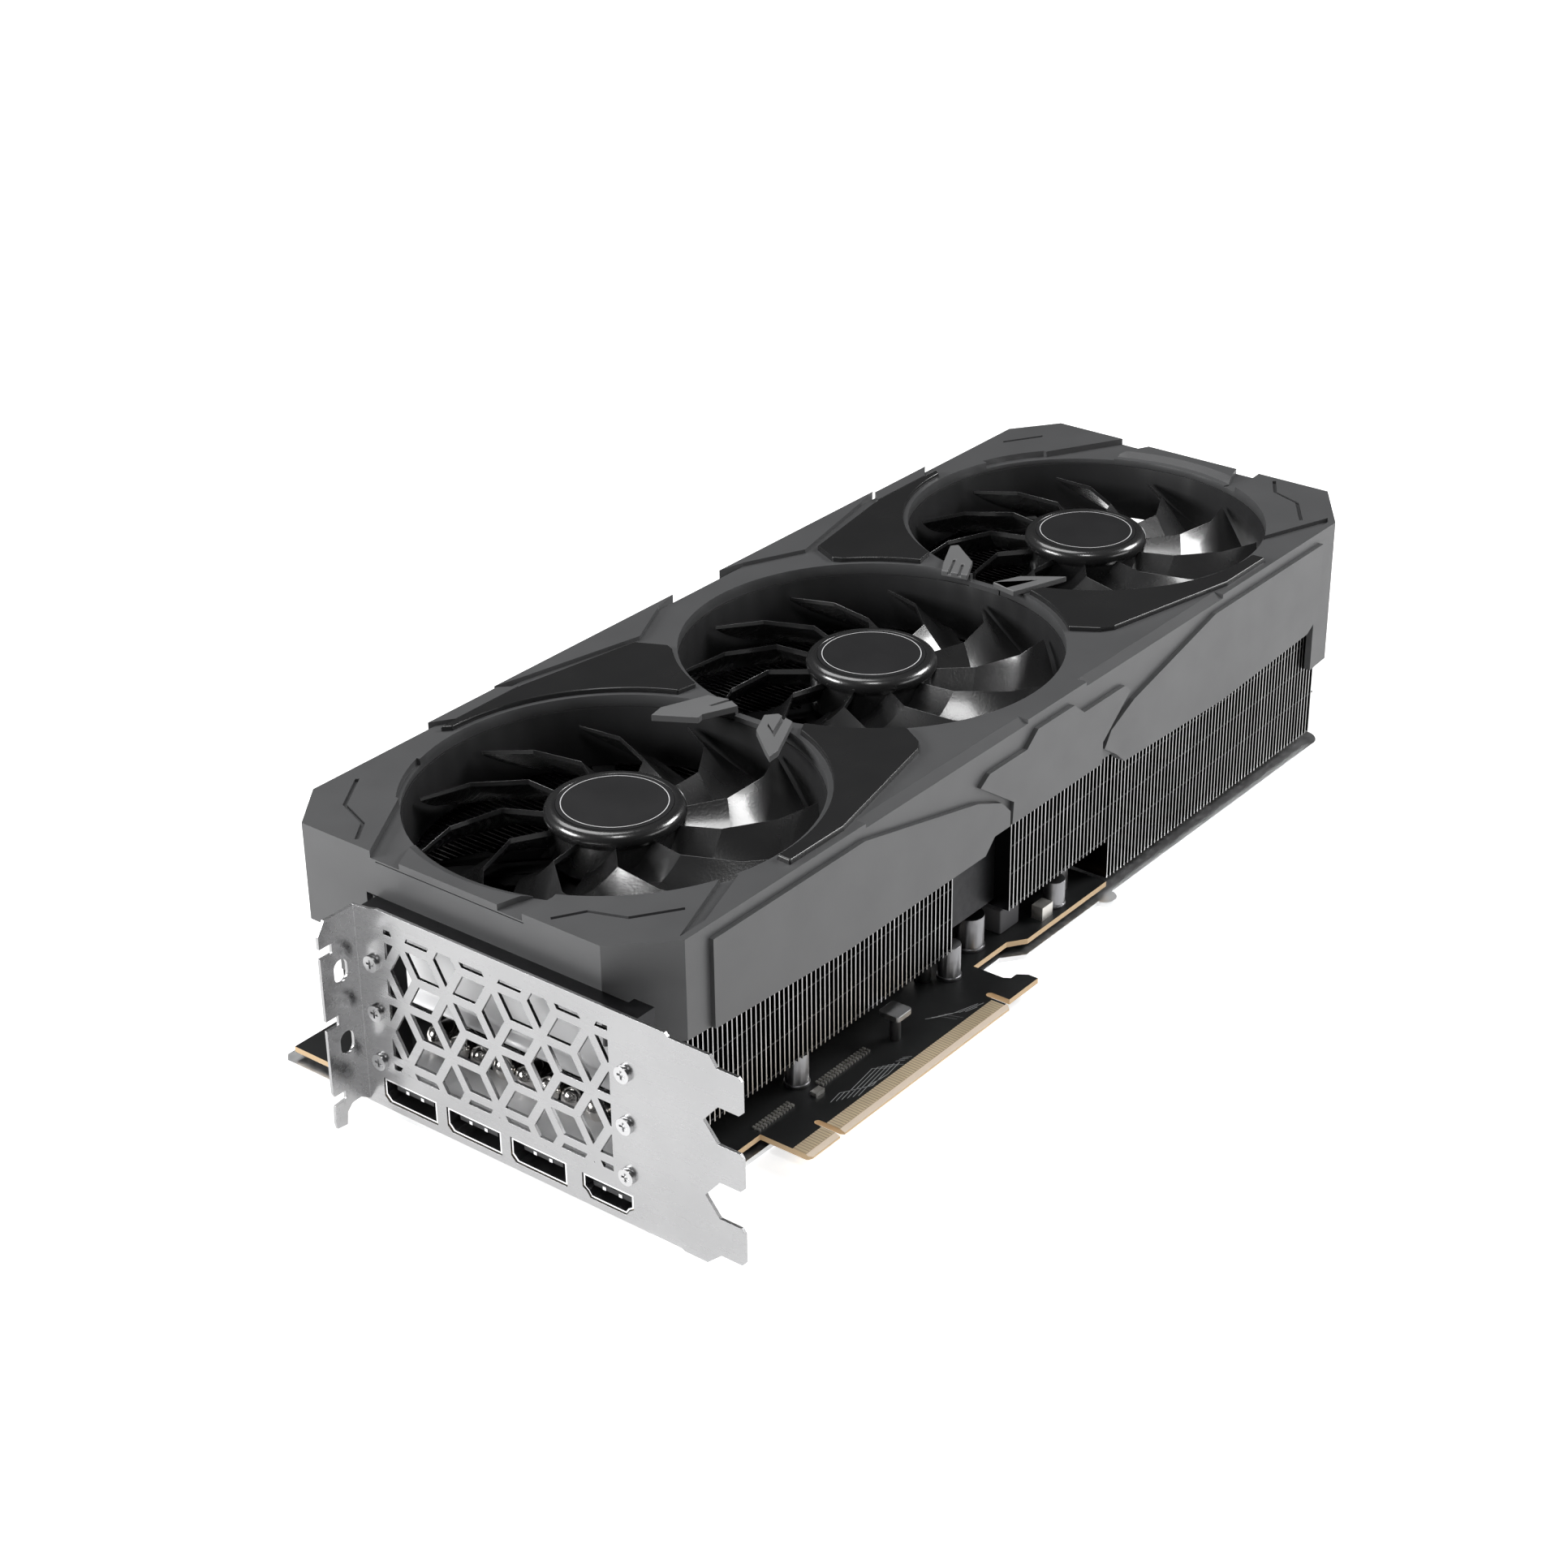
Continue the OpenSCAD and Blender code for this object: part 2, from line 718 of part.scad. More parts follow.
module heat_pipes() card_frame() color("#c9a58c") {
    for (i = [0:pipe_n - 1]) translate([pipe_x0, pipe_y0 + i * pipe_pitch, pipe_z]) {
        translate([pipe_r, 0, 0]) rotate([0, 90, 0]) cylinder(r = pipe_r, h = pipe_x1 - pipe_x0 - 2 * pipe_r);
        translate([pipe_r, 0, 0]) sphere(r = pipe_r);
        translate([pipe_x1 - pipe_x0 - pipe_r, 0, 0]) sphere(r = pipe_r);
    }
}

clamp_reach = 27;
clamp_r = 1.5;

module at_clamps() {
    for (sx = [-1, 1], sy = [-1, 1])
        translate([gpu_c[0] + sx * clamp_reach, gpu_c[1] + sy * clamp_reach, 0]) children();
}

module cold_plate() card_frame() color("#b9793f") difference() {
    block(plate_x, plate_y, [die_top, plate_top]);
    at_clamps() translate([0, 0, die_top - eps]) cylinder(r = clamp_r, h = 4);
}

// Memory chips stand in a ring round the package, three to a side.
module at_chips() {
    for (a = [0:90:270], k = [-1:1]) translate([gpu_c[0], gpu_c[1], 0]) rotate([0, 0, a])
        translate([k * 17, chip_ring, 0]) children();
}

module chip_block(inset, z0, z1) {
    translate([-chip[0] / 2 + inset, -chip[1] / 2 + inset, z0])
        cube([chip[0] - 2 * inset, chip[1] - 2 * inset, z1 - z0]);
}

module thermal_pads() card_frame() color("#8aa0b4") at_chips() chip_block(pad_clear, chip_t, die_top);

module memory_chips() card_frame() color("#1b1c1e") at_chips() chip_block(0, 0, chip_t);

module gpu_substrate() card_frame() color("#2d4a3a")
    translate([gpu_c[0] - substrate / 2, gpu_c[1] - substrate / 2, 0]) cube([substrate, substrate, substrate_t]);

module gpu_die() card_frame() color("#8f9496")
    translate([gpu_c[0] - 12, gpu_c[1] - 13, substrate_t]) cube([24, 26, die_top - substrate_t]);

// ---------------------------------------------------------------- circuit board

edge_x0 = 46.1;
key_x = edge_x0 + 11.65;
key_w = 1.9;
edge_x1 = key_x + key_w + 71.65;
hook_x0 = edge_x1 + 2.2;
hook_x1 = 146.8;
key_top = 8.4;
tip_cut = 0.8;

module pcb_outline() {
    difference() {
        polygon([
            [pcb_x0, pcb_y0], [edge_x0, pcb_y0], [edge_x0, tip_cut], [edge_x0 + tip_cut, 0],
            [edge_x1 - tip_cut, 0], [edge_x1, tip_cut], [edge_x1, 7.4], [hook_x0, 7.4], [hook_x0, 2],
            [hook_x1, 2], [hook_x1, 5], [hook_x1 - 1.8, 7.7], [142.6, 7.7], [141.5, 9.5], [141.5, 19],
            [157, 19], [162, pcb_y0], [pcb_x1, pcb_y0], [pcb_x1, pcb_y1], [pcb_x0, pcb_y1]
        ]);
        translate([key_x + key_w / 2, key_top - key_w / 2]) circle(d = key_w);
        translate([key_x, -1]) square([key_w, key_top - key_w / 2 + 1]);
        translate([(edge_x1 + hook_x0) / 2, 7.3]) circle(d = hook_x0 - edge_x1);
    }
}

screw_spots = [[26, 124], [100, 124], [195, 124], [26, 24], [128, 26], [190, 24]];

// The two faces of the contact edge slope towards its tip, so that it slides into its socket.
bevel_y = 1.5;
bevel_z = 0.5;

module contact_bevels() {
    along_x(edge_x0 - 1, edge_x1 - edge_x0 + 2) for (top = [0, 1]) translate([0, top * pcb_t])
        mirror([0, 1 - top]) polygon([[-1, -bevel_z - 1 / 3], [bevel_y, 0], [bevel_y, 1], [-1, 1]]);
}

module pcb() card_frame() color("#1e2022") translate([0, 0, -pcb_t]) difference() {
    linear_extrude(pcb_t) pcb_outline();
    contact_bevels();
    for (p = screw_spots) translate([p[0], p[1], -1]) cylinder(r = screw_r, h = 4);
    at_clamps() translate([0, 0, -1]) cylinder(r = clamp_r, h = 4);
}

contact_t = 0.06;
contact_w = 0.7;

// One row of contacts on each face, missing where the key is.
module edge_contacts() card_frame() color("#d9b35c") {
    for (side = [0, -pcb_t - contact_t], k = [0:82]) {
        x = edge_x0 + 0.65 + k + (k > 10 ? 2 : 0);
        if (x + contact_w < edge_x1) translate([x, 1.7, side]) cube([contact_w, 3.9, contact_t]);
    }
}

module chokes_column(x) {
    for (k = [0:6]) translate([x - 4, 38 + k * 11, 0]) cube([8, 8, 6.5]);
}

module power_chokes() card_frame() color("#4a4b4d") {
    chokes_column(48);
    chokes_column(154);
    translate([159, 22.5, 0]) cube([9, 8, 7.5]);
}

module power_stages() card_frame() color("#1b1c1e") {
    for (x = [36, 165], k = [0:6]) translate([x - 3, 39.5 + k * 11, 0]) cube([6, 5, 0.9]);
}

// Place, height and radius of each can.
cans = [
    [69.3, 22.3, 9.5, 3.1], [133.6, 21.4, 10, 3.1], [149.6, 26.1, 10, 4], [182, 20.5, 8, 3.1],
    [60, 124, 9.5, 4], [140, 124, 9.5, 4]
];

module can_capacitors() card_frame() color("#cfd1d3") {
    for (c = cans) translate([c[0], c[1], 0]) {
        cylinder(r = c[3] + 0.3, h = 1);
        cylinder(r = c[3], h = c[2]);
    }
}

// Small surface parts: a double row beside the edge contacts and one beside the package.
module small_components() card_frame() color("#9a8f80") {
    for (k = [0:16], row = [0, 1]) translate([72 + k * 1.2, 16.2 + row * 1.4, 0]) cube([0.6, 1, 0.5]);
    for (k = [0:11], row = [0, 1]) translate([47 + k * 1.2, 16.4 + row * 1.4, 0]) cube([0.6, 1, 0.5]);
    for (k = [0:9]) translate([172 + k * 2.4, 34, 0]) cube([1.2, 2, 0.8]);
    translate([67, 14.4, 0]) cube([3.4, 2, 1]);
    translate([172, 17.5, 0]) cube([5, 3.6, 4]);
}

inlet_x = [166, 188.6];
inlet_y = [121.5, 137];
inlet_z = [0, 9.4];

// Sixteen-way power inlet: two rows of six square cavities and a row of four small ones.
module power_inlet() card_frame() color("#161719") difference() {
    union() {
        block(inlet_x, inlet_y, inlet_z);
        block([inlet_x[0] + 8.3, inlet_x[0] + 14.3], [inlet_y[0] + 6, inlet_y[1]], [inlet_z[1], inlet_z[1] + 1.4]);
    }
    for (k = [0:5], z = [2.2, 5.4])
        translate([inlet_x[0] + 2.3 + k * 3.1, inlet_y[1] - 11, z]) cube([2.5, 12, 2.5]);
    for (k = [0:3]) translate([inlet_x[0] + 7 + k * 2.3, inlet_y[1] - 8, 0.7]) cube([1.3, 9, 1]);
}

module fan_headers() card_frame() color("#e6e4dc") {
    for (x = [112, 124]) difference() {
        block([x, x + 9], [121, 127], [0, 5.6]);
        block([x + 1, x + 8], [122, 126], [1.4, 7]);
    }
}

post_h = 8.4;
edge_post_h = 7.2;
cap_half = 3.2;

// Square cap with rounded corners on top of a post.
module post_cap(z) {
    translate([0, 0, z]) linear_extrude(1.6) hull()
        for (x = [-1, 1], y = [-1, 1]) translate([x, y] * (cap_half - 1)) circle(r = 1, $fn = 24);
}

// Posts over the backplate's screws, and a thinner, lower one by the contact edge.
module support_posts() card_frame() color("#a7a9ab") {
    for (p = screw_spots) translate([p[0], p[1], 0]) difference() {
        union() {
            cylinder(r = post_r, h = post_h);
            post_cap(post_h);
        }
        translate([0, 0, -1]) cylinder(r = screw_r, h = 20);
    }
    translate([100.5, 14.8, 0]) {
        cylinder(r = 1.5, h = edge_post_h);
        post_cap(edge_post_h);
    }
}

// ---------------------------------------------------------------- backplate and clamp

window = 78;
vent_slots = 10;

// Backplate outline: follows the board's edge and ends in a rounded tail corner.
module backplate_outline() {
    hull() {
        translate([back_x[1] - 6, back_y[0] + 6]) circle(r = 6);
        translate([back_x[1] - 6, back_y[1] - 6]) circle(r = 6);
        translate([199, back_y[0]]) square([1, back_y[1] - back_y[0]]);
    }
    polygon([
        [back_x[0] + 2, back_y[0]], [edge_x0 + 8, back_y[0]], [edge_x0 + 12, 19], [154, 19], [160, back_y[0]],
        [200, back_y[0]], [200, back_y[1]], [back_x[0] + 2, back_y[1]], [back_x[0], back_y[1] - 2],
        [back_x[0], back_y[0] + 2]
    ]);
    translate([199, back_y[0] + 0.5]) circle(r = 3.6);
}

module slanted_slot(x) {
    polygon([[x, 34], [x + 5, 34], [x + 19, 118], [x + 14, 118]]);
}

module backplate() card_frame() color("#c3c5c7") difference() {
    union() {
        translate([0, 0, back_bottom]) linear_extrude(back_t) difference() {
            backplate_outline();
            translate([gpu_c[0] - window / 2, gpu_c[1] - window / 2]) square(window);
            translate([7, 112]) square([3, 22]);
        }
        for (p = screw_spots) translate([p[0], p[1], back_top - eps])
            cylinder(r = post_r, h = -pcb_t - back_top + eps);
    }
    for (p = screw_spots) translate([p[0], p[1], back_bottom - eps]) {
        cylinder(r = screw_r, h = 6);
        cylinder(r = 2.6, h = 1.1);
    }
    for (k = [0:vent_slots - 1]) translate([0, 0, back_bottom - 1]) linear_extrude(4)
        slanted_slot(209 + k * 9);
}

module backplate_screws() card_frame() color("#8d8f91") {
    for (p = screw_spots) translate([p[0], p[1], back_bottom + 1.1 - eps]) screw(2.5, 1, screw_r, 10.6);
}

leaf = [back_top - 0.9, back_top + 0.3];

// Cross-shaped leaf spring that clamps the cold plate to the package from behind the board.
module clamp_cross() card_frame() color("#5c5e61") difference() {
    translate([gpu_c[0], gpu_c[1], leaf[0]]) union() {
        for (a = [45, 135]) rotate([0, 0, a]) translate([-clamp_reach * sqrt(2), -4, 0])
            cube([2 * clamp_reach * sqrt(2), 8, leaf[1] - leaf[0]]);
        cylinder(r = 11, h = -pcb_t - leaf[0]);
        for (sx = [-1, 1], sy = [-1, 1]) translate([sx * clamp_reach, sy * clamp_reach, 0])
            cylinder(r = 5, h = leaf[1] - leaf[0]);
    }
    at_clamps() translate([0, 0, -20]) cylinder(r = clamp_r, h = 40);
}

module clamp_screws() card_frame() color("#8d8f91") {
    at_clamps() translate([0, 0, leaf[0]]) screw(2.8, 0.5, clamp_r, 7.4);
}

// ---------------------------------------------------------------- slot bracket and sockets

module face_outline() {
    polygon(concat(
        [[bracket_y1, bracket_z0], [2, bracket_z0], [1, bracket_z0 - 0.5], [-5.8, bracket_z0 - 0.5]],
        [for (i = [0:2]) let (z = tab_z0 + i * slot_pitch) each concat(
            [
                [-10, z], [tab_tip + 1, z], [tab_tip, z + 1], [tab_tip, z + tab_w - 1],
                [tab_tip + 1, z + tab_w], [-9.8, z + tab_w]
            ],
            i < 2 ? [[-5.7, z + (tab_w + slot_pitch) / 2]] : []
        )],
        [
            [-8, bracket_z1 - 0.9], [4, bracket_z1 - 0.9], [5, bracket_z1], [95, bracket_z1],
            [98, bracket_z1 - 0.8], [bracket_y1, bracket_z1 - 1.4]
        ]
    ));
}

// Outline in X and Z of the flange that is screwed to the case, with its notches and holes.
module flange_outline() {
    difference() {
        polygon([
            [sheet_t, bracket_z0], [-3, 2], [-6, 1.8], [-7.8, 0], [-8.2, -3.4], [-11.6, -3], [flange_x, -1],
            [-11.6, 3.6], [-8, 4], [-8, 6.4], [flange_x + 0.4, 6.4], [flange_x, 7.4], [flange_x, bracket_z1 - 5],
            [flange_x + 2.4, bracket_z1 - 1.4], [sheet_t, bracket_z1 - 1.4]
        ]);
        for (z = [flange_hole_z, flange_hole_z + slot_pitch]) {
            for (dz = [-slot_half, slot_half]) translate([flange_hole_x, z + dz]) circle(r = flange_hole_r);
            translate([flange_hole_x - flange_hole_r, z - slot_half])
                square([2 * flange_hole_r, 2 * slot_half]);
            translate([flange_x - 1, z + 6.1]) square([flange_x + 17, 2.7]);
        }
    }
}

// Vent lattice: hexagons split into three rhombi, clipped to the vent window.
module rhombus(v, u, w) {
    translate(v) polygon([[0, 0], u, u + w, w]);
}

module vent_holes() {
    s = vent_side;
    row = s * sqrt(3);
    a = [s / 2, row / 2];
    b = [s / 2, -row / 2];
    c = [-s, 0];
    intersection() {
        translate([vent_y[0], vent_z[0]]) square([vent_y[1] - vent_y[0], vent_z[1] - vent_z[0]]);
        for (i = [-1:6], j = [-1:2]) {
            v = [83 - i * s * 1.5, 41 - j * row - (i % 2 == 0 ? 0 : row / 2)];
            offset(delta = -vent_strut / 2) rhombus(v, a, b);
            offset(delta = -vent_strut / 2) rhombus(v, a, c);
            offset(delta = -vent_strut / 2) rhombus(v, b, c);
        }
    }
}

module dp_outline(w, h, cut) {
    polygon([
        [-w / 2, -h / 2], [w / 2 - cut, -h / 2], [w / 2, -h / 2 + cut], [w / 2, h / 2], [-w / 2, h / 2]
    ]);
}

module hdmi_outline(w, h, cut) {
    polygon([
        [-w / 2, h / 2], [w / 2, h / 2], [w / 2, -h / 2 + cut], [w / 2 - 0.6 * cut, -h / 2 + 0.6 * cut],
        [w / 2 - cut, -h / 2], [-w / 2 + cut, -h / 2], [-w / 2 + 0.6 * cut, -h / 2 + 0.6 * cut],
        [-w / 2, -h / 2 + cut]
    ]);
}

module slot_bracket() card_frame() color("#d3d5d7") difference() {
    union() {
        along_x(0, sheet_t) face_outline();
        along_y(bracket_y1 - sheet_t, sheet_t) flange_outline();
    }
    along_x(-1, 4) {
        vent_holes();
        for (y = dp_y) translate([y, dp_z + dp_h / 2]) dp_outline(dp_w, dp_h, 1.6);
        translate([hdmi_y, dp_z + hdmi_h / 2]) hdmi_outline(hdmi_w, hdmi_h, 2.4);
        for (y = bracket_screw_y, z = bracket_screw_z) translate([y, z]) circle(r = screw_r);
    }
}

holder_x = [sheet_t, front_x + shroud_wall];

// Cast frame behind the bracket: two upright bars and a cross bar under the shroud's front wall.
module bracket_holder() card_frame() color("#3c3d40") difference() {
    union() {
        for (y = bracket_screw_y) block(holder_x, [y - 3, y + 3], [9.4, 56]);
        block([sheet_t, front_x], [bracket_screw_y[0] - 3, bracket_screw_y[1] + 3], [53, 56]);
    }
    for (y = bracket_screw_y, z = bracket_screw_z)
        translate([0, y, z]) rotate([0, 90, 0]) cylinder(r = screw_r, h = 6);
}

module bracket_screws() card_frame() color("#dcdee0") {
    for (y = bracket_screw_y, z = bracket_screw_z)
        translate([0, y, z]) rotate([0, 90, 0]) screw(2.2, 1.1, screw_r, 5.6);
}

shell_t = 0.45;

module displayport_shells() card_frame() color("#e2e3e4") {
    for (y = dp_y) {
        along_x(0.3, socket_l - 0.3) translate([y, dp_z + dp_h / 2]) difference() {
            dp_outline(dp_w - 0.5, dp_h - 0.6, 1.6);
            dp_outline(dp_w - 0.5 - 2 * shell_t, dp_h - 0.6 - 2 * shell_t, 1.6);
        }
        for (dy = [-7, 7]) block([9, 11], [y + dy - 0.4, y + dy + 0.4], [0, dp_z + 0.3]);
    }
}

module displayport_tongues() card_frame() color("#141517") {
    for (y = dp_y) {
        along_x(10, socket_l - 10) translate([y, dp_z + dp_h / 2])
            dp_outline(dp_w - 0.5 - 2 * shell_t, dp_h - 0.6 - 2 * shell_t, 1.6);
        block([1.8, 10], [y - 6.2, y + 6.2], [dp_z + 3.4, dp_z + 4.9]);
    }
}

module hdmi_shell() card_frame() color("#e2e3e4") {
    along_x(0.3, socket_l - 2.3) translate([hdmi_y, dp_z + hdmi_h / 2]) difference() {
        hdmi_outline(hdmi_w - 0.5, hdmi_h - 0.5, 2.3);
        hdmi_outline(hdmi_w - 0.5 - 2 * shell_t, hdmi_h - 0.5 - 2 * shell_t, 2);
    }
    for (dy = [-5, 5]) block([9, 11], [hdmi_y + dy - 0.4, hdmi_y + dy + 0.4], [0, dp_z + 0.25]);
}

module hdmi_tongue() card_frame() color("#141517") {
    along_x(9, socket_l - 11) translate([hdmi_y, dp_z + hdmi_h / 2])
        hdmi_outline(hdmi_w - 0.5 - 2 * shell_t, hdmi_h - 0.5 - 2 * shell_t, 2);
    block([1.8, 9], [hdmi_y - 6, hdmi_y + 6], [dp_z + 2.6, dp_z + 3.9]);
}

shroud();
fan_ducts();
accent_panel_left_front();
accent_panel_left_rear();
accent_panel_right_front();
accent_panel_right_rear();
emblem_bars_front();
emblem_bars_rear();
shroud_screws();
fan_1_rotor();
fan_1_badge();
fan_1_shaft();
fan_1_magnet_ring();
fan_1_stator();
fan_1_frame();
fan_2_rotor();
fan_2_badge();
fan_2_shaft();
fan_2_magnet_ring();
fan_2_stator();
fan_2_frame();
fan_3_rotor();
fan_3_badge();
fan_3_shaft();
fan_3_magnet_ring();
fan_3_stator();
fan_3_frame();
fan_screws();
fin_stack_front();
fin_stack_rear();
fin_bridge_plate();
heat_pipes();
cold_plate();
thermal_pads();
pcb();
edge_contacts();
gpu_substrate();
gpu_die();
memory_chips();
power_chokes();
power_stages();
can_capacitors();
small_components();
power_inlet();
fan_headers();
support_posts();
backplate();
backplate_screws();
clamp_cross();
clamp_screws();
slot_bracket();
bracket_holder();
bracket_screws();
displayport_shells();
displayport_tongues();
hdmi_shell();
hdmi_tongue();
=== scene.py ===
import json
import math

import bmesh
import bpy
from mathutils import Matrix, Vector


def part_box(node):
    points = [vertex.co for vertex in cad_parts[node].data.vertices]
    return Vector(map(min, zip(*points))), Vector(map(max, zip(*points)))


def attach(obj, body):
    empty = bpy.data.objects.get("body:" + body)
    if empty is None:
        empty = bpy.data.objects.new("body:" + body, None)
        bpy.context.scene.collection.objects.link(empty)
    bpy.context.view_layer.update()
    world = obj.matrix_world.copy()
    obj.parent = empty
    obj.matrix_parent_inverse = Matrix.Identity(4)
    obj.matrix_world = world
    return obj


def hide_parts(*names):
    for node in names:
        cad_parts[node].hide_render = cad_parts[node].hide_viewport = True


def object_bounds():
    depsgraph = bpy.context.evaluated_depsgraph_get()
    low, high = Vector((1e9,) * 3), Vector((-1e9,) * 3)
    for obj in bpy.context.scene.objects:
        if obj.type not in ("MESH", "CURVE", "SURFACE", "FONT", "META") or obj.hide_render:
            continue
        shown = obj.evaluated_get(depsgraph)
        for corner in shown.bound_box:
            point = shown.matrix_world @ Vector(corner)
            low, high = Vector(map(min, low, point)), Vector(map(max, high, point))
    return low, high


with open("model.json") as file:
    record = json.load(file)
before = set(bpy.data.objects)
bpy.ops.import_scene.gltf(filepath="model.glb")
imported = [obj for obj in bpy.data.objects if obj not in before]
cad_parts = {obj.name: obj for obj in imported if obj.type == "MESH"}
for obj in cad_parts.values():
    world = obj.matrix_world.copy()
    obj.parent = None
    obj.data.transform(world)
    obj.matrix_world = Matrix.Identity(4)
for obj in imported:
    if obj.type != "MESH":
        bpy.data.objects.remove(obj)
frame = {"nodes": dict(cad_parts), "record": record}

cad_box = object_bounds()
nodes = frame["nodes"]

MM = 0.001
FANS = (1, 2, 3)

# The card's own origin in the shared frame: outer face of the bracket, tips of the edge contacts,
# component side of the board.
board_low, board_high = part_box("pcb")
BOARD_FROM_BRACKET = 5
ORIGIN = Vector((board_low.x - BOARD_FROM_BRACKET * MM, board_low.y, board_high.z))


def at(x, y, z):
    """A point given in millimetres in the card's own frame."""
    return ORIGIN + Vector((x, y, z)) * MM


def around(axis, radius, angle, height):
    """A point round a fan's axis, from a radius and a height over the board in millimetres."""
    x = axis.x + radius * MM * math.cos(angle)
    y = axis.y + radius * MM * math.sin(angle)
    return Vector((x, y, at(0, 0, height).z))


def middle(node):
    low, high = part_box(node)
    return (low + high) / 2


# ---------------------------------------------------------------- materials

# Nearly all of a noise texture's values lie between these two.
NOISE_LOW = 0.3
NOISE_HIGH = 0.7
FINE_DETAIL = 3
PLAIN_DETAIL = 2


def is_output(value):
    return isinstance(value, bpy.types.NodeSocket)


class Surface:
    """A node material that is built up one layer at a time."""

    def __init__(self, name, color, roughness, metallic=0.0):
        self.material = bpy.data.materials.new(name)
        self.material.use_nodes = True
        self.tree = self.material.node_tree
        self.shader = self.tree.nodes["Principled BSDF"]
        self.color = color
        self.roughness = roughness
        self.set("Base Color", (*color, 1))
        self.set("Roughness", roughness)
        self.set("Metallic", metallic)
        self.place = self.add("ShaderNodeTexCoord").outputs["Object"]

    def set(self, socket, value):
        self.shader.inputs[socket].default_value = value

    def link(self, output, socket):
        self.tree.links.new(output, self.shader.inputs[socket])

    def add(self, kind, inputs=(), **settings):
        """Adds a node. Each input is a pair of a socket and a value or another node's output."""
        node = self.tree.nodes.new(kind)
        for name, value in settings.items():
            setattr(node, name, value)
        for socket, value in inputs:
            if is_output(value):
                self.tree.links.new(value, node.inputs[socket])
            else:
                node.inputs[socket].default_value = value
        return node

    def math(self, operation, a, b=0.0):
        return self.add("ShaderNodeMath", [(0, a), (1, b)], operation=operation).outputs[0]

    def vector_math(self, operation, a, b=(0, 0, 0)):
        return self.add("ShaderNodeVectorMath", [(0, a), (1, b)], operation=operation).outputs

    def stretched(self, scale):
        """The surface's coordinates with each axis scaled, for grain that runs one way."""
        return self.vector_math("MULTIPLY", self.place, scale)[0]

    def part(self, vector, axis):
        """The x, y or z (0, 1 or 2) of a vector."""
        return self.add("ShaderNodeSeparateXYZ", [(0, vector)]).outputs[axis]

    def facing(self, axis, least):
        """1 on faces whose normal has more than least of an axis (0, 1 or 2) in it, else 0."""
        normal = self.add("ShaderNodeTexCoord").outputs["Normal"]
        return self.math("GREATER_THAN", self.math("ABSOLUTE", self.part(normal, axis)), least)

    def noise(self, size, detail, vector=None):
        """Noise whose lumps are about size metres wide."""
        inputs = [("Vector", vector or self.place), ("Scale", 1 / size), ("Detail", detail)]
        return self.add("ShaderNodeTexNoise", inputs).outputs["Fac"]

    def span(self, noise, low, high):
        """Stretches noise so that it goes from low to high."""
        inputs = [("Value", noise), ("To Min", low), ("To Max", high)]
        inputs += [("From Min", NOISE_LOW), ("From Max", NOISE_HIGH)]
        return self.add("ShaderNodeMapRange", inputs).outputs["Result"]

    def mix(self, mask, first, second):
        """A colour that goes from first to second as mask goes from 0 to 1."""
        first, second = [tone if is_output(tone) else (*tone, 1) for tone in (first, second)]
        return self.add("ShaderNodeMix", [(0, mask), (6, first), (7, second)], data_type="RGBA").outputs[2]

    def shades(self, size, spread):
        """Slow change of tone over the surface."""
        dark = [channel * (1 - spread) for channel in self.color]
        light = [min(channel * (1 + spread), 1) for channel in self.color]
        tone = self.mix(self.span(self.noise(size, FINE_DETAIL), 0, 1), dark, light)
        self.link(tone, "Base Color")
        return tone

    def rough(self, size, spread, vector=None):
        """Uneven gloss."""
        noise = self.noise(size, FINE_DETAIL, vector)
        self.link(self.span(noise, self.roughness - spread, self.roughness + spread), "Roughness")

    def bump(self, size, height, vector=None):
        """Relief of about height metres."""
        relief = self.noise(size, PLAIN_DETAIL, vector)
        node = self.add("ShaderNodeBump", [("Height", relief), ("Distance", height), ("Strength", 1.0)])
        self.link(node.outputs["Normal"], "Normal")


def molded(name, color, roughness, grain=0.35 * MM, depth=0.012 * MM, coat=0.0, specular=0.5):
    """Moulded plastic: a fine grain, slightly uneven gloss and tone."""
    surface = Surface(name, color, roughness)
    surface.shades(40 * MM, 0.06)
    surface.rough(12 * MM, 0.04)
    surface.bump(grain, depth)
    surface.set("Coat Weight", coat)
    surface.set("Coat Roughness", 0.12)
    surface.set("Specular IOR Level", specular)
    return surface


def metal(name, color, roughness, along=(1, 1, 1), metallic=1.0):
    """Bare or plated metal with a grain that may run along one axis."""
    surface = Surface(name, color, roughness, metallic)
    surface.shades(25 * MM, 0.05)
    lines = surface.stretched(along)
    surface.rough(2 * MM, 0.05, lines)
    surface.bump(0.5 * MM, 0.004 * MM, lines)
    return surface


BADGE_BLACK = (0.02, 0.02, 0.021)
RING_WHITE = (0.75, 0.75, 0.76)
RING_RADIUS = 13.55
RING_HALF_WIDTH = 0.11


def badge_film(number):
    """Matt black disc with a thin white ring near its rim."""
    surface = molded(f"badge_film_{number}", BADGE_BLACK, 0.38, depth=0.005 * MM)
    offset = surface.vector_math("SUBTRACT", surface.place, middle(f"fan_{number}_badge"))[0]
    flat = surface.vector_math("MULTIPLY", offset, (1, 1, 0))[0]
    radius = surface.vector_math("LENGTH", flat)["Value"]
    from_ring = surface.math("ABSOLUTE", surface.math("SUBTRACT", radius, RING_RADIUS * MM))
    ring = surface.math("LESS_THAN", from_ring, RING_HALF_WIDTH * MM)
    surface.link(surface.mix(ring, BADGE_BLACK, RING_WHITE), "Base Color")
    return surface


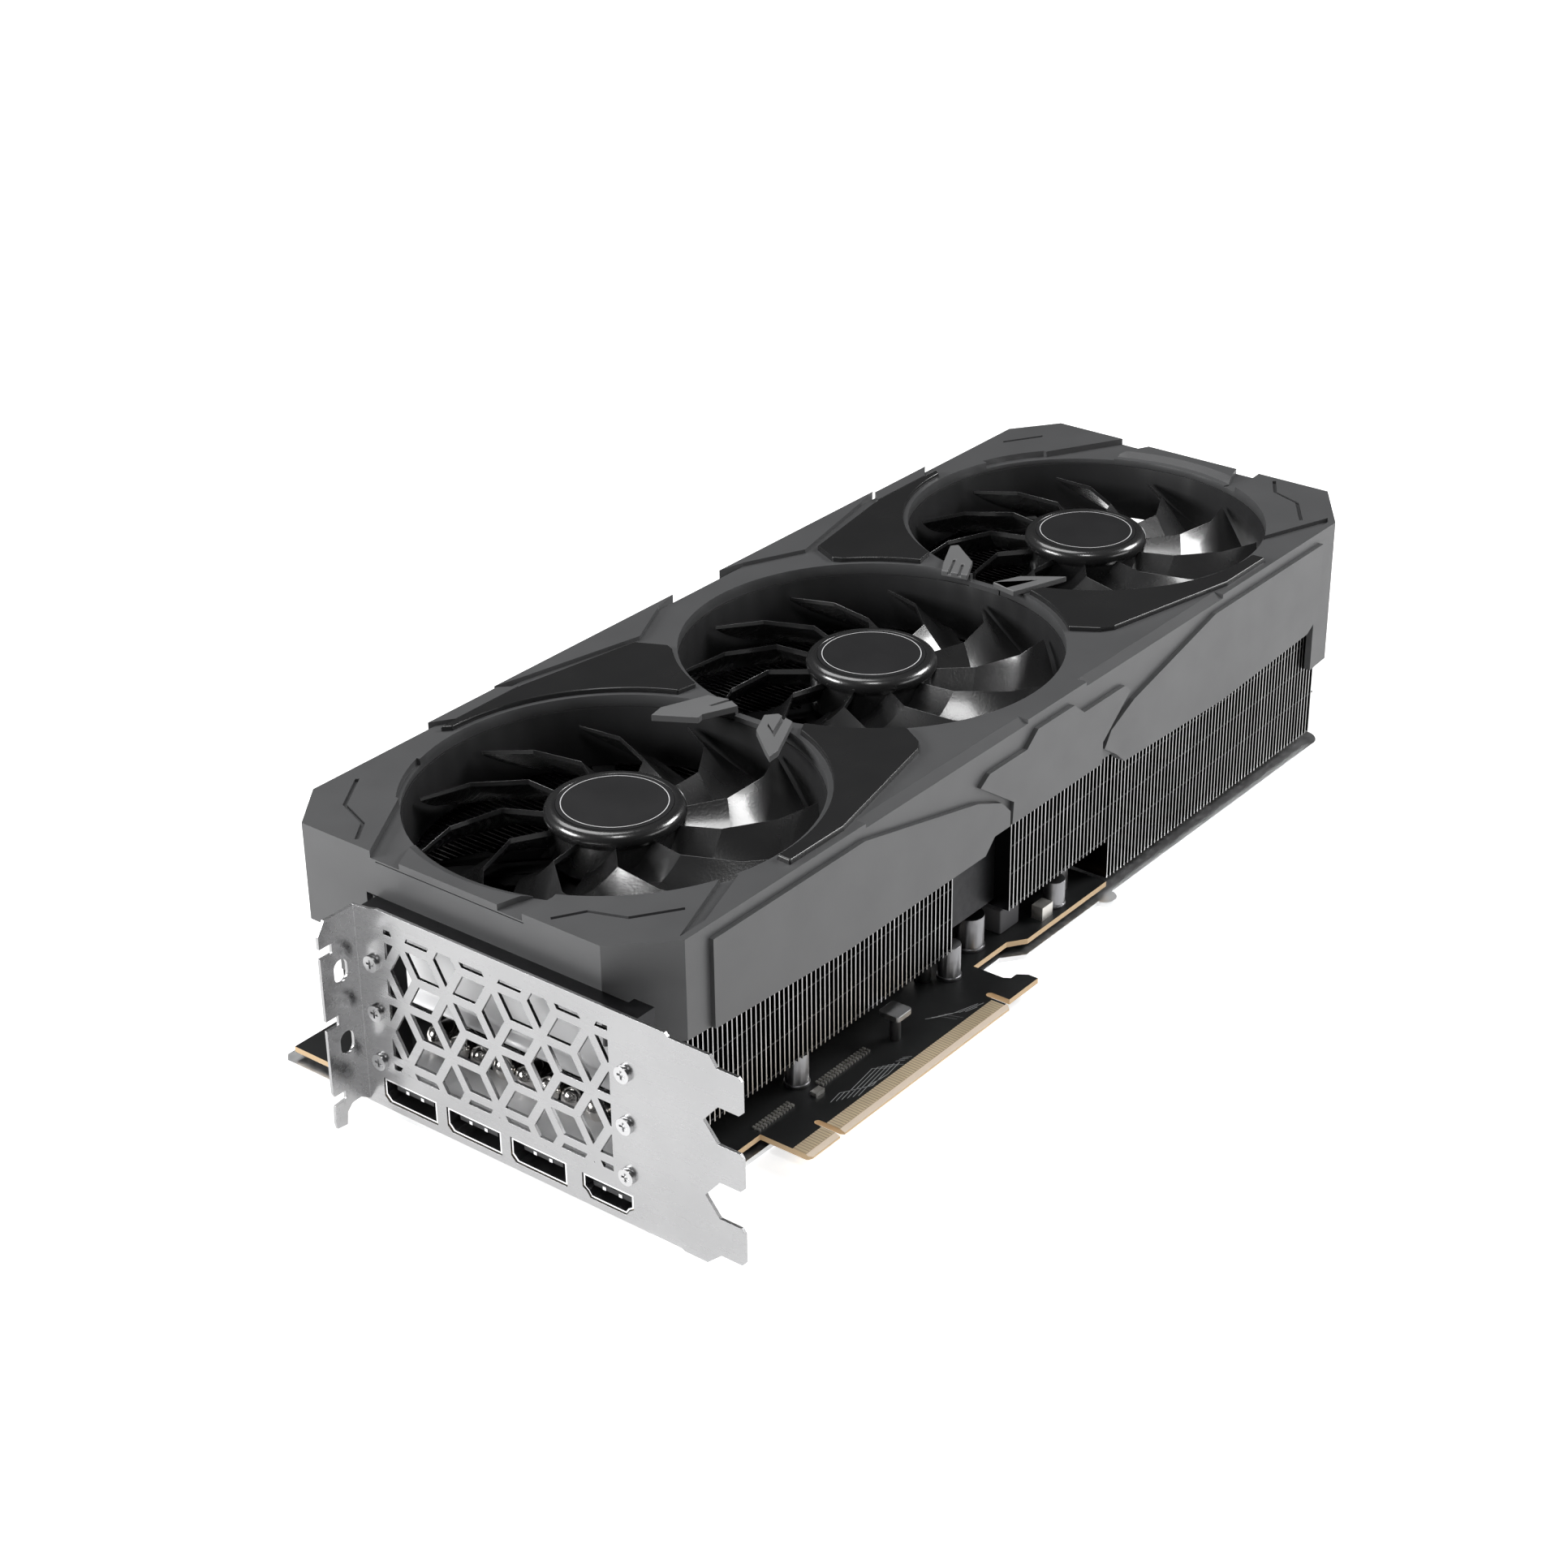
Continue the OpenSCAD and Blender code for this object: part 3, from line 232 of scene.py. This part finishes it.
def board():
    """Solder mask over glass fibre: black faces, tan cut edges, pale bevel and strip at the contacts."""
    surface = Surface("board", (0.011, 0.0115, 0.012), 0.5)
    mask_tone = surface.shades(20 * MM, 0.1)
    strip_tan, edge_tan, bevel_tan = (0.62, 0.47, 0.3), (0.6, 0.43, 0.25), (0.95, 0.8, 0.64)
    contacts_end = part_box("edge_contacts")[1]
    before = surface.math("LESS_THAN", surface.part(surface.place, 1), contacts_end.y)
    beside = surface.math("LESS_THAN", surface.part(surface.place, 0), contacts_end.x)
    face_tone = surface.mix(surface.math("MULTIPLY", before, beside), mask_tone, strip_tan)
    edge_tone = surface.mix(surface.facing(2, 0.5), edge_tan, bevel_tan)
    surface.link(surface.mix(surface.facing(2, 0.98), edge_tone, face_tone), "Base Color")
    surface.rough(6 * MM, 0.05)
    surface.bump(1.5 * MM, 0.01 * MM)
    surface.set("Specular IOR Level", 0.3)
    return surface


def fin_aluminium():
    """Thin stamped sheets; painted shade makes the broad faces, in each other's shadow, darker than the
    cut edges.
    """
    surface = Surface("fin_aluminium", (0.5, 0.5, 0.51), 0.34, 1.0)
    lines = surface.stretched((1, 1, 0.1))
    streaks = surface.span(surface.noise(2 * MM, FINE_DETAIL, lines), 0, 1)
    edge_tone = surface.mix(streaks, (0.34, 0.34, 0.342), (0.56, 0.56, 0.562))
    # Painted shade: the broad faces, which face along x, are near black for the shadow of the neighbouring
    # fins.
    face_tone = (0.015, 0.015, 0.016)
    surface.link(surface.mix(surface.facing(0, 0.7), edge_tone, face_tone), "Base Color")
    surface.rough(3 * MM, 0.06, lines)
    surface.bump(0.5 * MM, 0.003 * MM, lines)
    return surface


def fan_plastic():
    """Glossy grained plastic that shows the lights as broad, speckled patches."""
    color = (0.022, 0.022, 0.0225)
    return molded("fan_plastic", color, 0.26, 0.7 * MM, 0.028 * MM, coat=0.8, specular=0.8)


def contact_gold():
    """Gold plating that still shows its own colour in the dark under the card."""
    return metal("contact_gold", (0.95, 0.8, 0.56), 0.45, metallic=0.5)


def satin_sheet():
    """Satin plating that still shows its own pale grey in the dark inside of the card."""
    return metal("satin_sheet", (0.94, 0.94, 0.95), 0.38, along=(1, 1, 0.1), metallic=0.15)


# Painted shade: the aluminium tabs are near black for the shadow they sit in between the fins.
def tab_shadow_metal():
    return metal("tab_shadow", (0.05, 0.05, 0.052), 0.5)


def trace_mask():
    return molded("trace", (0.42, 0.43, 0.43), 0.35)


# Slots whose finish has a function of its own.
SPECIAL = {
    "fan_plastic": fan_plastic,
    "fin_aluminium": fin_aluminium,
    "board": board,
    "gold": contact_gold,
}

# Slots with a plain plastic: colour, roughness and what differs from the usual.
PLASTICS = {
    "shroud_plastic": ((0.085, 0.086, 0.088), 0.42, {}),
    "accent_plastic": ((0.022, 0.022, 0.0225), 0.25, {"coat": 0.3}),
    "emblem_plastic": ((0.165, 0.166, 0.168), 0.36, {}),
    "black_plastic": ((0.026, 0.026, 0.027), 0.45, {"specular": 0.25}),
    "thermal_pad": ((0.35, 0.42, 0.5), 0.8, {}),
    "substrate": ((0.04, 0.12, 0.07), 0.4, {}),
    "chip_epoxy": ((0.02, 0.02, 0.022), 0.5, {}),
    "choke_ferrite": ((0.09, 0.09, 0.095), 0.6, {}),
    "connector_plastic": ((0.012, 0.012, 0.013), 0.45, {}),
    "header_plastic": ((0.75, 0.72, 0.66), 0.5, {}),
}

# Slots with a plain metal, likewise.
METALS = {
    "black_screw": ((0.08, 0.08, 0.082), 0.35, {}),
    "polished_steel": ((0.75, 0.75, 0.76), 0.15, {}),
    "magnet_steel": ((0.3, 0.3, 0.31), 0.4, {}),
    "copper_winding": ((0.72, 0.36, 0.18), 0.35, {}),
    "black_sheet": ((0.03, 0.03, 0.032), 0.4, {}),
    "nickel_copper": ((0.8, 0.78, 0.75), 0.14, {}),
    "silicon": ((0.35, 0.37, 0.4), 0.06, {}),
    "can_aluminium": ((0.3, 0.3, 0.31), 0.36, {}),
    "solder_parts": ((0.82, 0.8, 0.76), 0.45, {}),
    "post_steel": ((0.28, 0.28, 0.285), 0.38, {}),
    "backplate_metal": ((0.78, 0.785, 0.79), 0.4, {}),
    "zinc_screw": ((0.55, 0.55, 0.555), 0.3, {}),
    "bracket_steel": ((0.4, 0.4, 0.404), 0.26, {"along": (1, 0.15, 1)}),
    "shell_steel": ((0.82, 0.82, 0.83), 0.2, {}),
}


def slot_materials():
    """The material of each slot but the badges'."""
    made = {slot: maker().material for slot, maker in SPECIAL.items()}
    for maker, table in ((molded, PLASTICS), (metal, METALS)):
        for slot, (color, roughness, others) in table.items():
            made[slot] = maker(slot, color, roughness, **others).material
    return made


def dress(thing, material):
    thing.data.materials.clear()
    thing.data.materials.append(material)


def dress_nodes(materials):
    """Gives each CAD node the material of its slot, and each fan's badge a film of its own."""
    for part in frame["record"]["subparts"]:
        if part["material_slot"] != "badge_film":
            dress(nodes[part["node"]], materials[part["material_slot"]])
    for number in FANS:
        dress(nodes[f"fan_{number}_badge"], badge_film(number).material)


# ---------------------------------------------------------------- softened edges

# Rounding of each node's sharp edges in millimetres.
EDGE_RADII = {
    **{f"fan_{number}_frame": 0.3 for number in FANS},
    "shroud": 0.25,
    "fan_ducts": 0.4,
    "accent_panel_left_front": 0.4,
    "accent_panel_left_rear": 0.4,
    "accent_panel_right_front": 0.5,
    "accent_panel_right_rear": 0.5,
    "emblem_bars_front": 0.35,
    "emblem_bars_rear": 0.35,
    "slot_bracket": 0.2,
    "bracket_screws": 0.2,
    "backplate": 0.25,
    "power_inlet": 0.2,
    "can_capacitors": 0.5,
    "power_chokes": 0.4,
    "support_posts": 0.25,
}
EDGE_SEGMENTS = 2
# Edges that bend by more than this many degrees count as sharp.
EDGE_BEND = 28
# Points closer than this many millimetres are one, and faces within this many degrees are one plane.
WELD_GAP = 0.001
FLAT_WITHIN = 0.5


def round_edges(thing, radius, segments, degrees):
    """Rounds the edges that bend by more than that many degrees."""
    bevel = thing.modifiers.new("bevel", "BEVEL")
    bevel.width = radius * MM
    bevel.segments = segments
    bevel.limit_method = "ANGLE"
    bevel.angle_limit = math.radians(degrees)
    bevel.harden_normals = True


def soften(thing, radius):
    """Joins the mesh into whole faces and rounds its sharp edges."""
    weld = thing.modifiers.new("weld", "WELD")
    weld.merge_threshold = WELD_GAP * MM
    flat = thing.modifiers.new("flat", "DECIMATE")
    flat.decimate_type = "DISSOLVE"
    flat.angle_limit = math.radians(FLAT_WITHIN)
    round_edges(thing, radius, EDGE_SEGMENTS, EDGE_BEND)


# ---------------------------------------------------------------- pieces modelled here

# Largest distance, in millimetres, between two corners that are one point.
SAME_POINT = 0.0001
# Smallest bend, in degrees, that stays a sharp edge.
BOX_SHARP = 30


def piece(name, mesh, body, material):
    """Adds a mesh as a piece that rides on a body and wears the given material."""
    thing = bpy.data.objects.new(name, mesh)
    bpy.context.scene.collection.objects.link(thing)
    dress(thing, material)
    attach(thing, body)
    return thing


def finished_mesh(name, shape, sharp):
    """Turns a bmesh into a mesh, smooth but for the edges that bend by more than sharp degrees."""
    bmesh.ops.remove_doubles(shape, verts=shape.verts, dist=SAME_POINT * MM)
    bmesh.ops.recalc_face_normals(shape, faces=shape.faces)
    for face in shape.faces:
        face.smooth = True
    for edge in shape.edges:
        edge.smooth = edge.calc_face_angle(0) < math.radians(sharp)
    mesh = bpy.data.meshes.new(name)
    shape.to_mesh(mesh)
    shape.free()
    return mesh


def add_grid(shape, rows):
    """Faces between neighbouring rows of points."""
    made = [[shape.verts.new(point) for point in row] for row in rows]
    for first, second in zip(made, made[1:]):
        for k in range(len(first) - 1):
            corners = (first[k], first[k + 1], second[k + 1], second[k])
            shape.faces.new(corners)


def add_box(shape, low, high):
    """Box between two corners given in millimetres in the card's own frame."""
    low_corner, high_corner = Vector(low), Vector(high)
    centre = at(*((low_corner + high_corner) / 2))
    size = (high_corner - low_corner) * MM
    matrix = Matrix.Translation(centre) @ Matrix.Diagonal((*size, 1))
    bmesh.ops.create_cube(shape, size=1, matrix=matrix)


BLADES = 11
BLADE_TOP = 62
# Angle of the first blade of each fan, in degrees.
BLADE_STARTS = (25, 4.6, 16.5)
CHORD_STEPS = 9
# Above 1, a blade drops faster at its leading edge than at its trailing edge.
CAMBER = 1.55
# Share of its thickness that a blade loses by its trailing edge.
TAPER = 0.45
# Blade stations from root to tip: radius, sweep of the leading edge, its drop, chord as an angle,
# drop across the chord and thickness.
STATIONS = (
    (16.8, 0, 0.9, 27, 8.2, 1.7),
    (28.5, 1, 0, 26, 10, 1.5),
    (41, 14.5, 0.2, 25, 11.5, 1.3),
    (50.8, 27, 1, 22, 10, 1.0),
)
# Smallest bends, in degrees, that stay a sharp edge and that get a rounded one.
ROTOR_SHARP = 22
ROTOR_EDGE_BEND = 50
ROTOR_EDGE_RADIUS = 0.42
ROTOR_EDGE_SEGMENTS = 3


def blade_point(axis, station, share, side, start):
    """Point at a share of a station's chord, on the blade's upper (side 0) or lower (side 1) face."""
    radius, sweep, lead_drop, chord, drop, thickness = station
    angle = math.radians(start + sweep - share * chord)
    curve = 1 - (1 - share) ** CAMBER
    depth = side * thickness * (1 - TAPER * share)
    return around(axis, radius, angle, BLADE_TOP - lead_drop - curve * drop - depth)


def station_row(axis, station, start):
    """Points along the upper side, back along the lower side and to the first point again."""
    shares = [k / (CHORD_STEPS - 1) for k in range(CHORD_STEPS)]
    upper = [blade_point(axis, station, share, 0, start) for share in shares]
    lower = [blade_point(axis, station, share, 1, start) for share in reversed(shares)]
    return upper + lower + upper[:1]


def add_blade(shape, axis, start):
    """Closed shell that is straight between its stations, so that it bends in sharp kinks."""
    rows = [station_row(axis, station, start) for station in STATIONS]
    add_grid(shape, rows)
    for row in (rows[0], rows[-1]):
        shape.faces.new([shape.verts.new(point) for point in row[:-1]])


# Half section of the hub below and above its rounded shoulder: radius and height.
HUB_BELOW = (
    (0, 62.6),
    (1.5, 62.6),
    (1.5, 57.6),
    (3.4, 57.6),
    (3.4, 60.5),
    (15.6, 60.5),
    (15.6, 50.4),
    (16.9, 50.4),
    (16.9, 59.8),
)
HUB_ABOVE = ((14.9, 64.5), (14.8, 64.1), (0, 64.1))
SHOULDER_MIDDLE = (15.6, 62.2)
SHOULDER_RADIUS = 2.4
# Angles over the horizontal, in degrees.
SHOULDER_ARC = range(-40, 91, 10)
HUB_STEPS = 96


def hub_section():
    middle_radius, middle_height = SHOULDER_MIDDLE
    shoulder = []
    for degrees in SHOULDER_ARC:
        angle = math.radians(degrees)
        across = middle_radius + SHOULDER_RADIUS * math.cos(angle)
        shoulder.append((across, middle_height + SHOULDER_RADIUS * math.sin(angle)))
    return [*HUB_BELOW, *shoulder, *HUB_ABOVE]


def add_hub(shape, axis):
    section = hub_section()
    rows = []
    for step in range(HUB_STEPS + 1):
        angle = 2 * math.pi * step / HUB_STEPS
        rows.append([around(axis, radius, angle, height) for radius, height in section])
    add_grid(shape, rows)


def rotors(material):
    """Each fan's blades and hub, in place of the CAD rotor."""
    for number, start in zip(FANS, BLADE_STARTS):
        axis = middle(f"fan_{number}_shaft")
        shape = bmesh.new()
        for k in range(BLADES):
            add_blade(shape, axis, start + k * 360 / BLADES)
        add_hub(shape, axis)
        mesh = finished_mesh(f"rotor_{number}", shape, ROTOR_SHARP)
        rotor = piece(f"rotor_{number}", mesh, f"fan_{number}", material)
        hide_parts(f"fan_{number}_rotor")
        round_edges(rotor, ROTOR_EDGE_RADIUS, ROTOR_EDGE_SEGMENTS, ROTOR_EDGE_BEND)


FIN_PITCH = 1.8
# Open side of the fin stacks.
FIN_SIDE_Y = 17.2
# Rows of folded tabs down the open side of each fin stack: heights over the board.
TAB_ROWS = {"fin_stack_front": (30.5, 21.5, 12.2), "fin_stack_rear": (30.8, 22.3, 12.2)}
TAB_HALF = 0.11
# From a fin's front face to its tab's start, and from the tab's end to the next fin's front face.
TAB_START = 0.3
TAB_GAP = 0.1
# How far behind the fins' open side a tab starts and ends.
TAB_OUTER = 0.05
TAB_INNER = 1


def fin_tabs(material):
    """Small tabs, folded over the gap to the next fin, that line up in rows along the stack."""
    outer, inner = FIN_SIDE_Y + TAB_OUTER, FIN_SIDE_Y + TAB_INNER
    for node, heights in TAB_ROWS.items():
        low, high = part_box(node)
        start = (low.x - ORIGIN.x) / MM
        count = int((high.x - low.x) / MM / FIN_PITCH)
        shape = bmesh.new()
        for z in heights:
            for k in range(count):
                fin = start + k * FIN_PITCH
                low_corner = (fin + TAB_START, outer, z - TAB_HALF)
                add_box(shape, low_corner, (fin + FIN_PITCH - TAB_GAP, inner, z + TAB_HALF))
        mesh = finished_mesh(f"{node}_tabs", shape, BOX_SHARP)
        piece(f"{node}_tabs", mesh, "card", material)


# The sheet before the fins, in millimetres: its gap to them, its distance from their top and sides,
# its thickness, and the roll at its lower edge with heights over the heat pipes.
SHEET_GAP = 0.9
SHEET_FROM_TOP = 0.5
SHEET_FROM_SIDES = 6
SHEET_THICKNESS = 0.4
SHEET_SHARP = 60
ROLL_STEPS = 6
ROLL_DEPTH = 2.25
FLAT_BOTTOM = 7.5
ROLL_TOP = 5.5
ROLL_HEIGHT = 2.5


def front_sheet(material):
    """Satin sheet over the front of the fins, behind the bracket's vent, with a rolled lower edge."""
    low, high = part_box("fin_stack_front")
    pipes_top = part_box("heat_pipes")[1].z
    front = low.x - SHEET_GAP * MM
    section = [(front, high.z - SHEET_FROM_TOP * MM), (front, pipes_top + FLAT_BOTTOM * MM)]
    for step in range(ROLL_STEPS + 1):
        share = step / ROLL_STEPS
        forward = ROLL_DEPTH * math.sin(math.pi / 2 * share)
        section.append((front - forward * MM, pipes_top + (ROLL_TOP - ROLL_HEIGHT * share) * MM))
    ends = (low.y + SHEET_FROM_SIDES * MM, high.y - SHEET_FROM_SIDES * MM)
    shape = bmesh.new()
    add_grid(shape, [[Vector((x, y, z)) for y in ends] for x, z in section])
    mesh = finished_mesh("front_sheet", shape, SHEET_SHARP)
    sheet = piece("front_sheet", mesh, "card", material)
    thickness = sheet.modifiers.new("thickness", "SOLIDIFY")
    thickness.thickness = SHEET_THICKNESS * MM
    thickness.offset = 0


# Opposite corners of the sheet over the sockets.
COVER_LOW = (1.2, 14.8, 8.5)
COVER_HIGH = (18, 99, 8.8)


def socket_cover(material):
    """Flat sheet over the tops of the four sockets."""
    shape = bmesh.new()
    add_box(shape, COVER_LOW, COVER_HIGH)
    mesh = finished_mesh("socket_cover", shape, BOX_SHARP)
    piece("socket_cover", mesh, "card", material)


# The four sockets: centre along the bracket and height of the springs' lower ends over the board.
SOCKETS = ((46, 4.85), (67, 4.85), (88.3, 4.85), (24.2, 4.05))
SPRING_SPACING = 5
SPRING_WIDTH = 1
SPRING_HEIGHT = 0.9
SPRING_FRONT = 1.6
SPRING_BACK = 1.75


def socket_springs(material):
    """Two latch springs side by side in each socket's mouth."""
    shape = bmesh.new()
    for middle_y, foot in SOCKETS:
        for side in (-1, 1):
            y = middle_y + side * SPRING_SPACING / 2
            low = (SPRING_FRONT, y - SPRING_WIDTH / 2, foot)
            high = (SPRING_BACK, y + SPRING_WIDTH / 2, foot + SPRING_HEIGHT)
            add_box(shape, low, high)
    mesh = finished_mesh("socket_springs", shape, BOX_SHARP)
    piece("socket_springs", mesh, "card", material)


TRACE_WIDTH = 0.2
TRACE_TOP = 0.02
# Traces end before the strip of contacts.
TRACE_STOP_Y = 5.8
# Steps in x and y along each trace of the longest group.
LONG_TRACE = ((4.7, 0.7), (2.3, -1.5), (5.1, 0.7), (3.5, 0.5), (2.8, 0.4), (2.4, -2.9))
# Groups of board traces: number of traces, start of the outermost one, the step from each trace to the
# next one nearer the contacts, and the steps along a trace.
TRACE_GROUPS = (
    (6, (67.4, 10.3), (1.3, -0.75), LONG_TRACE),
    (3, (92, 8.4), (1.2, -0.2), ((1.9, -1.6), (0.6, -1.2))),
    (4, (112.5, 14), (1.6, -0.9), ((3.4, -2.4), (1.6, -4.2))),
    (3, (119.3, 9.8), (1.2, -1), ((3.8, -1.2), (3.8, -1.2))),
)


def add_trace(shape, x, y, steps):
    """Thin strip along a line on the board."""
    points = [(x, y)]
    for dx, dy in steps:
        x, y = x + dx, y + dy
        points.append((x, y))
    sides = (-TRACE_WIDTH / 2, TRACE_WIDTH / 2)
    seen = [point for point in points if point[1] > TRACE_STOP_Y]
    add_grid(shape, [[at(x, y + side, TRACE_TOP) for side in sides] for x, y in seen])


def board_traces(material):
    shape = bmesh.new()
    for count, first, spacing, steps in TRACE_GROUPS:
        for k in range(count):
            add_trace(shape, first[0] + k * spacing[0], first[1] + k * spacing[1], steps)
    mesh = finished_mesh("board_traces", shape, BOX_SHARP)
    piece("board_traces", mesh, "card", material)


# ---------------------------------------------------------------- stage, light and camera

FLOOR_SIZE = 12
FLOOR_GAP = 0.2
FLOOR_GLOW = 0.7
# Where most of the lights point, in metres.
LIGHT_AIM = (0, 0, 0.05)
CAMERA_AT = Vector((-0.58360, -0.42443, 0.41957))
CAMERA_AZIMUTH = math.radians(38.529)
CAMERA_ELEVATION = math.radians(28.095)
CAMERA_ROLL = math.radians(-0.799)
CAMERA_LENS = 68.445
CAMERA_SENSOR = 36
CAMERA_SHIFT = (0.00043, 0.00603)


def stage():
    """Pale floor that glows a little, so that it stays white in the picture."""
    bpy.ops.mesh.primitive_plane_add(size=FLOOR_SIZE, location=(0, 0, cad_box[0][2] - FLOOR_GAP * MM))
    floor = bpy.context.object
    floor.name = "floor"
    surface = Surface("floor", (0.88, 0.88, 0.88), 0.7)
    surface.rough(0.3, 0.05)
    surface.set("Emission Color", (1, 1, 1, 1))
    surface.set("Emission Strength", FLOOR_GLOW)
    dress(floor, surface.material)


def soft_box(name, place, size, power, aim=LIGHT_AIM):
    data = bpy.data.lights.new(name, "AREA")
    data.shape = "RECTANGLE"
    data.size, data.size_y = size
    data.energy = power
    light = bpy.data.objects.new(name, data)
    bpy.context.scene.collection.objects.link(light)
    light.location = place
    light.rotation_euler = (Vector(aim) - Vector(place)).to_track_quat("-Z", "Y").to_euler()


def sky(base, overhead, sides):
    """World light that is strongest from the front left and the rear right."""
    world = bpy.data.worlds.new("studio")
    bpy.context.scene.world = world
    world.use_nodes = True
    tree = world.node_tree

    def math_node(operation, a, b):
        node = tree.nodes.new("ShaderNodeMath")
        node.operation = operation
        for socket, value in zip(node.inputs, (a, b)):
            if is_output(value):
                tree.links.new(value, socket)
            else:
                socket.default_value = value
        return node.outputs[0]

    direction = tree.nodes.new("ShaderNodeTexCoord").outputs["Generated"]
    split = tree.nodes.new("ShaderNodeSeparateXYZ")
    tree.links.new(direction, split.inputs[0])
    across = math_node("SUBTRACT", split.outputs["X"], split.outputs["Y"])
    lobe = math_node("MULTIPLY", math_node("MULTIPLY", across, across), sides / 2)
    up = math_node("MULTIPLY", math_node("MAXIMUM", split.outputs["Z"], 0.0), overhead)
    total = math_node("ADD", math_node("ADD", lobe, up), base)
    tree.links.new(total, tree.nodes["Background"].inputs["Strength"])


def lights():
    sky(base=0.2, overhead=0.26, sides=1.65)
    soft_box("top_light", (0.05, 0.66, 1.34), (0.8, 1.1), 10)
    soft_box("edge_light", (-0.55, -0.46, 1.3), (0.3, 0.3), 3.5)
    soft_box("rear_right_light", (1.0, -0.58, 0.85), (0.6, 0.45), 12)
    soft_box("right_light", (0.4, -1.2, 0.35), (0.8, 0.4), 2, aim=(0.05, 0, 0.03))
    soft_box("left_light", (-1.1, 0.8, 0.55), (0.7, 0.4), 15, aim=(0, 0, 0.03))


def camera():
    """The photo's camera: its place and its turn about the three axes."""
    data = bpy.data.cameras.new("camera")
    data.lens = CAMERA_LENS
    data.sensor_width = CAMERA_SENSOR
    data.shift_x, data.shift_y = CAMERA_SHIFT
    thing = bpy.data.objects.new("camera", data)
    bpy.context.scene.collection.objects.link(thing)
    flat = math.cos(CAMERA_ELEVATION)
    back = Vector((
        -math.cos(CAMERA_AZIMUTH) * flat, -math.sin(CAMERA_AZIMUTH) * flat, math.sin(CAMERA_ELEVATION)
    ))
    right = (-back).cross(Vector((0, 0, 1))).normalized()
    up = right.cross(-back)
    turned_right = math.cos(CAMERA_ROLL) * right + math.sin(CAMERA_ROLL) * up
    turned_up = math.cos(CAMERA_ROLL) * up - math.sin(CAMERA_ROLL) * right
    pose = Matrix((turned_right, turned_up, back)).transposed().to_4x4()
    pose.translation = CAMERA_AT
    thing.matrix_world = pose
    bpy.context.scene.camera = thing
    bpy.context.scene.view_settings.view_transform = "Standard"


# ---------------------------------------------------------------- build

camera()
stage()
lights()
materials = slot_materials()
dress_nodes(materials)
rotors(materials["fan_plastic"])
fin_tabs(tab_shadow_metal().material)
satin = satin_sheet().material
front_sheet(satin)
socket_cover(satin)
socket_springs(materials["shell_steel"])
board_traces(trace_mask().material)
for node, radius in EDGE_RADII.items():
    soften(nodes[node], radius)
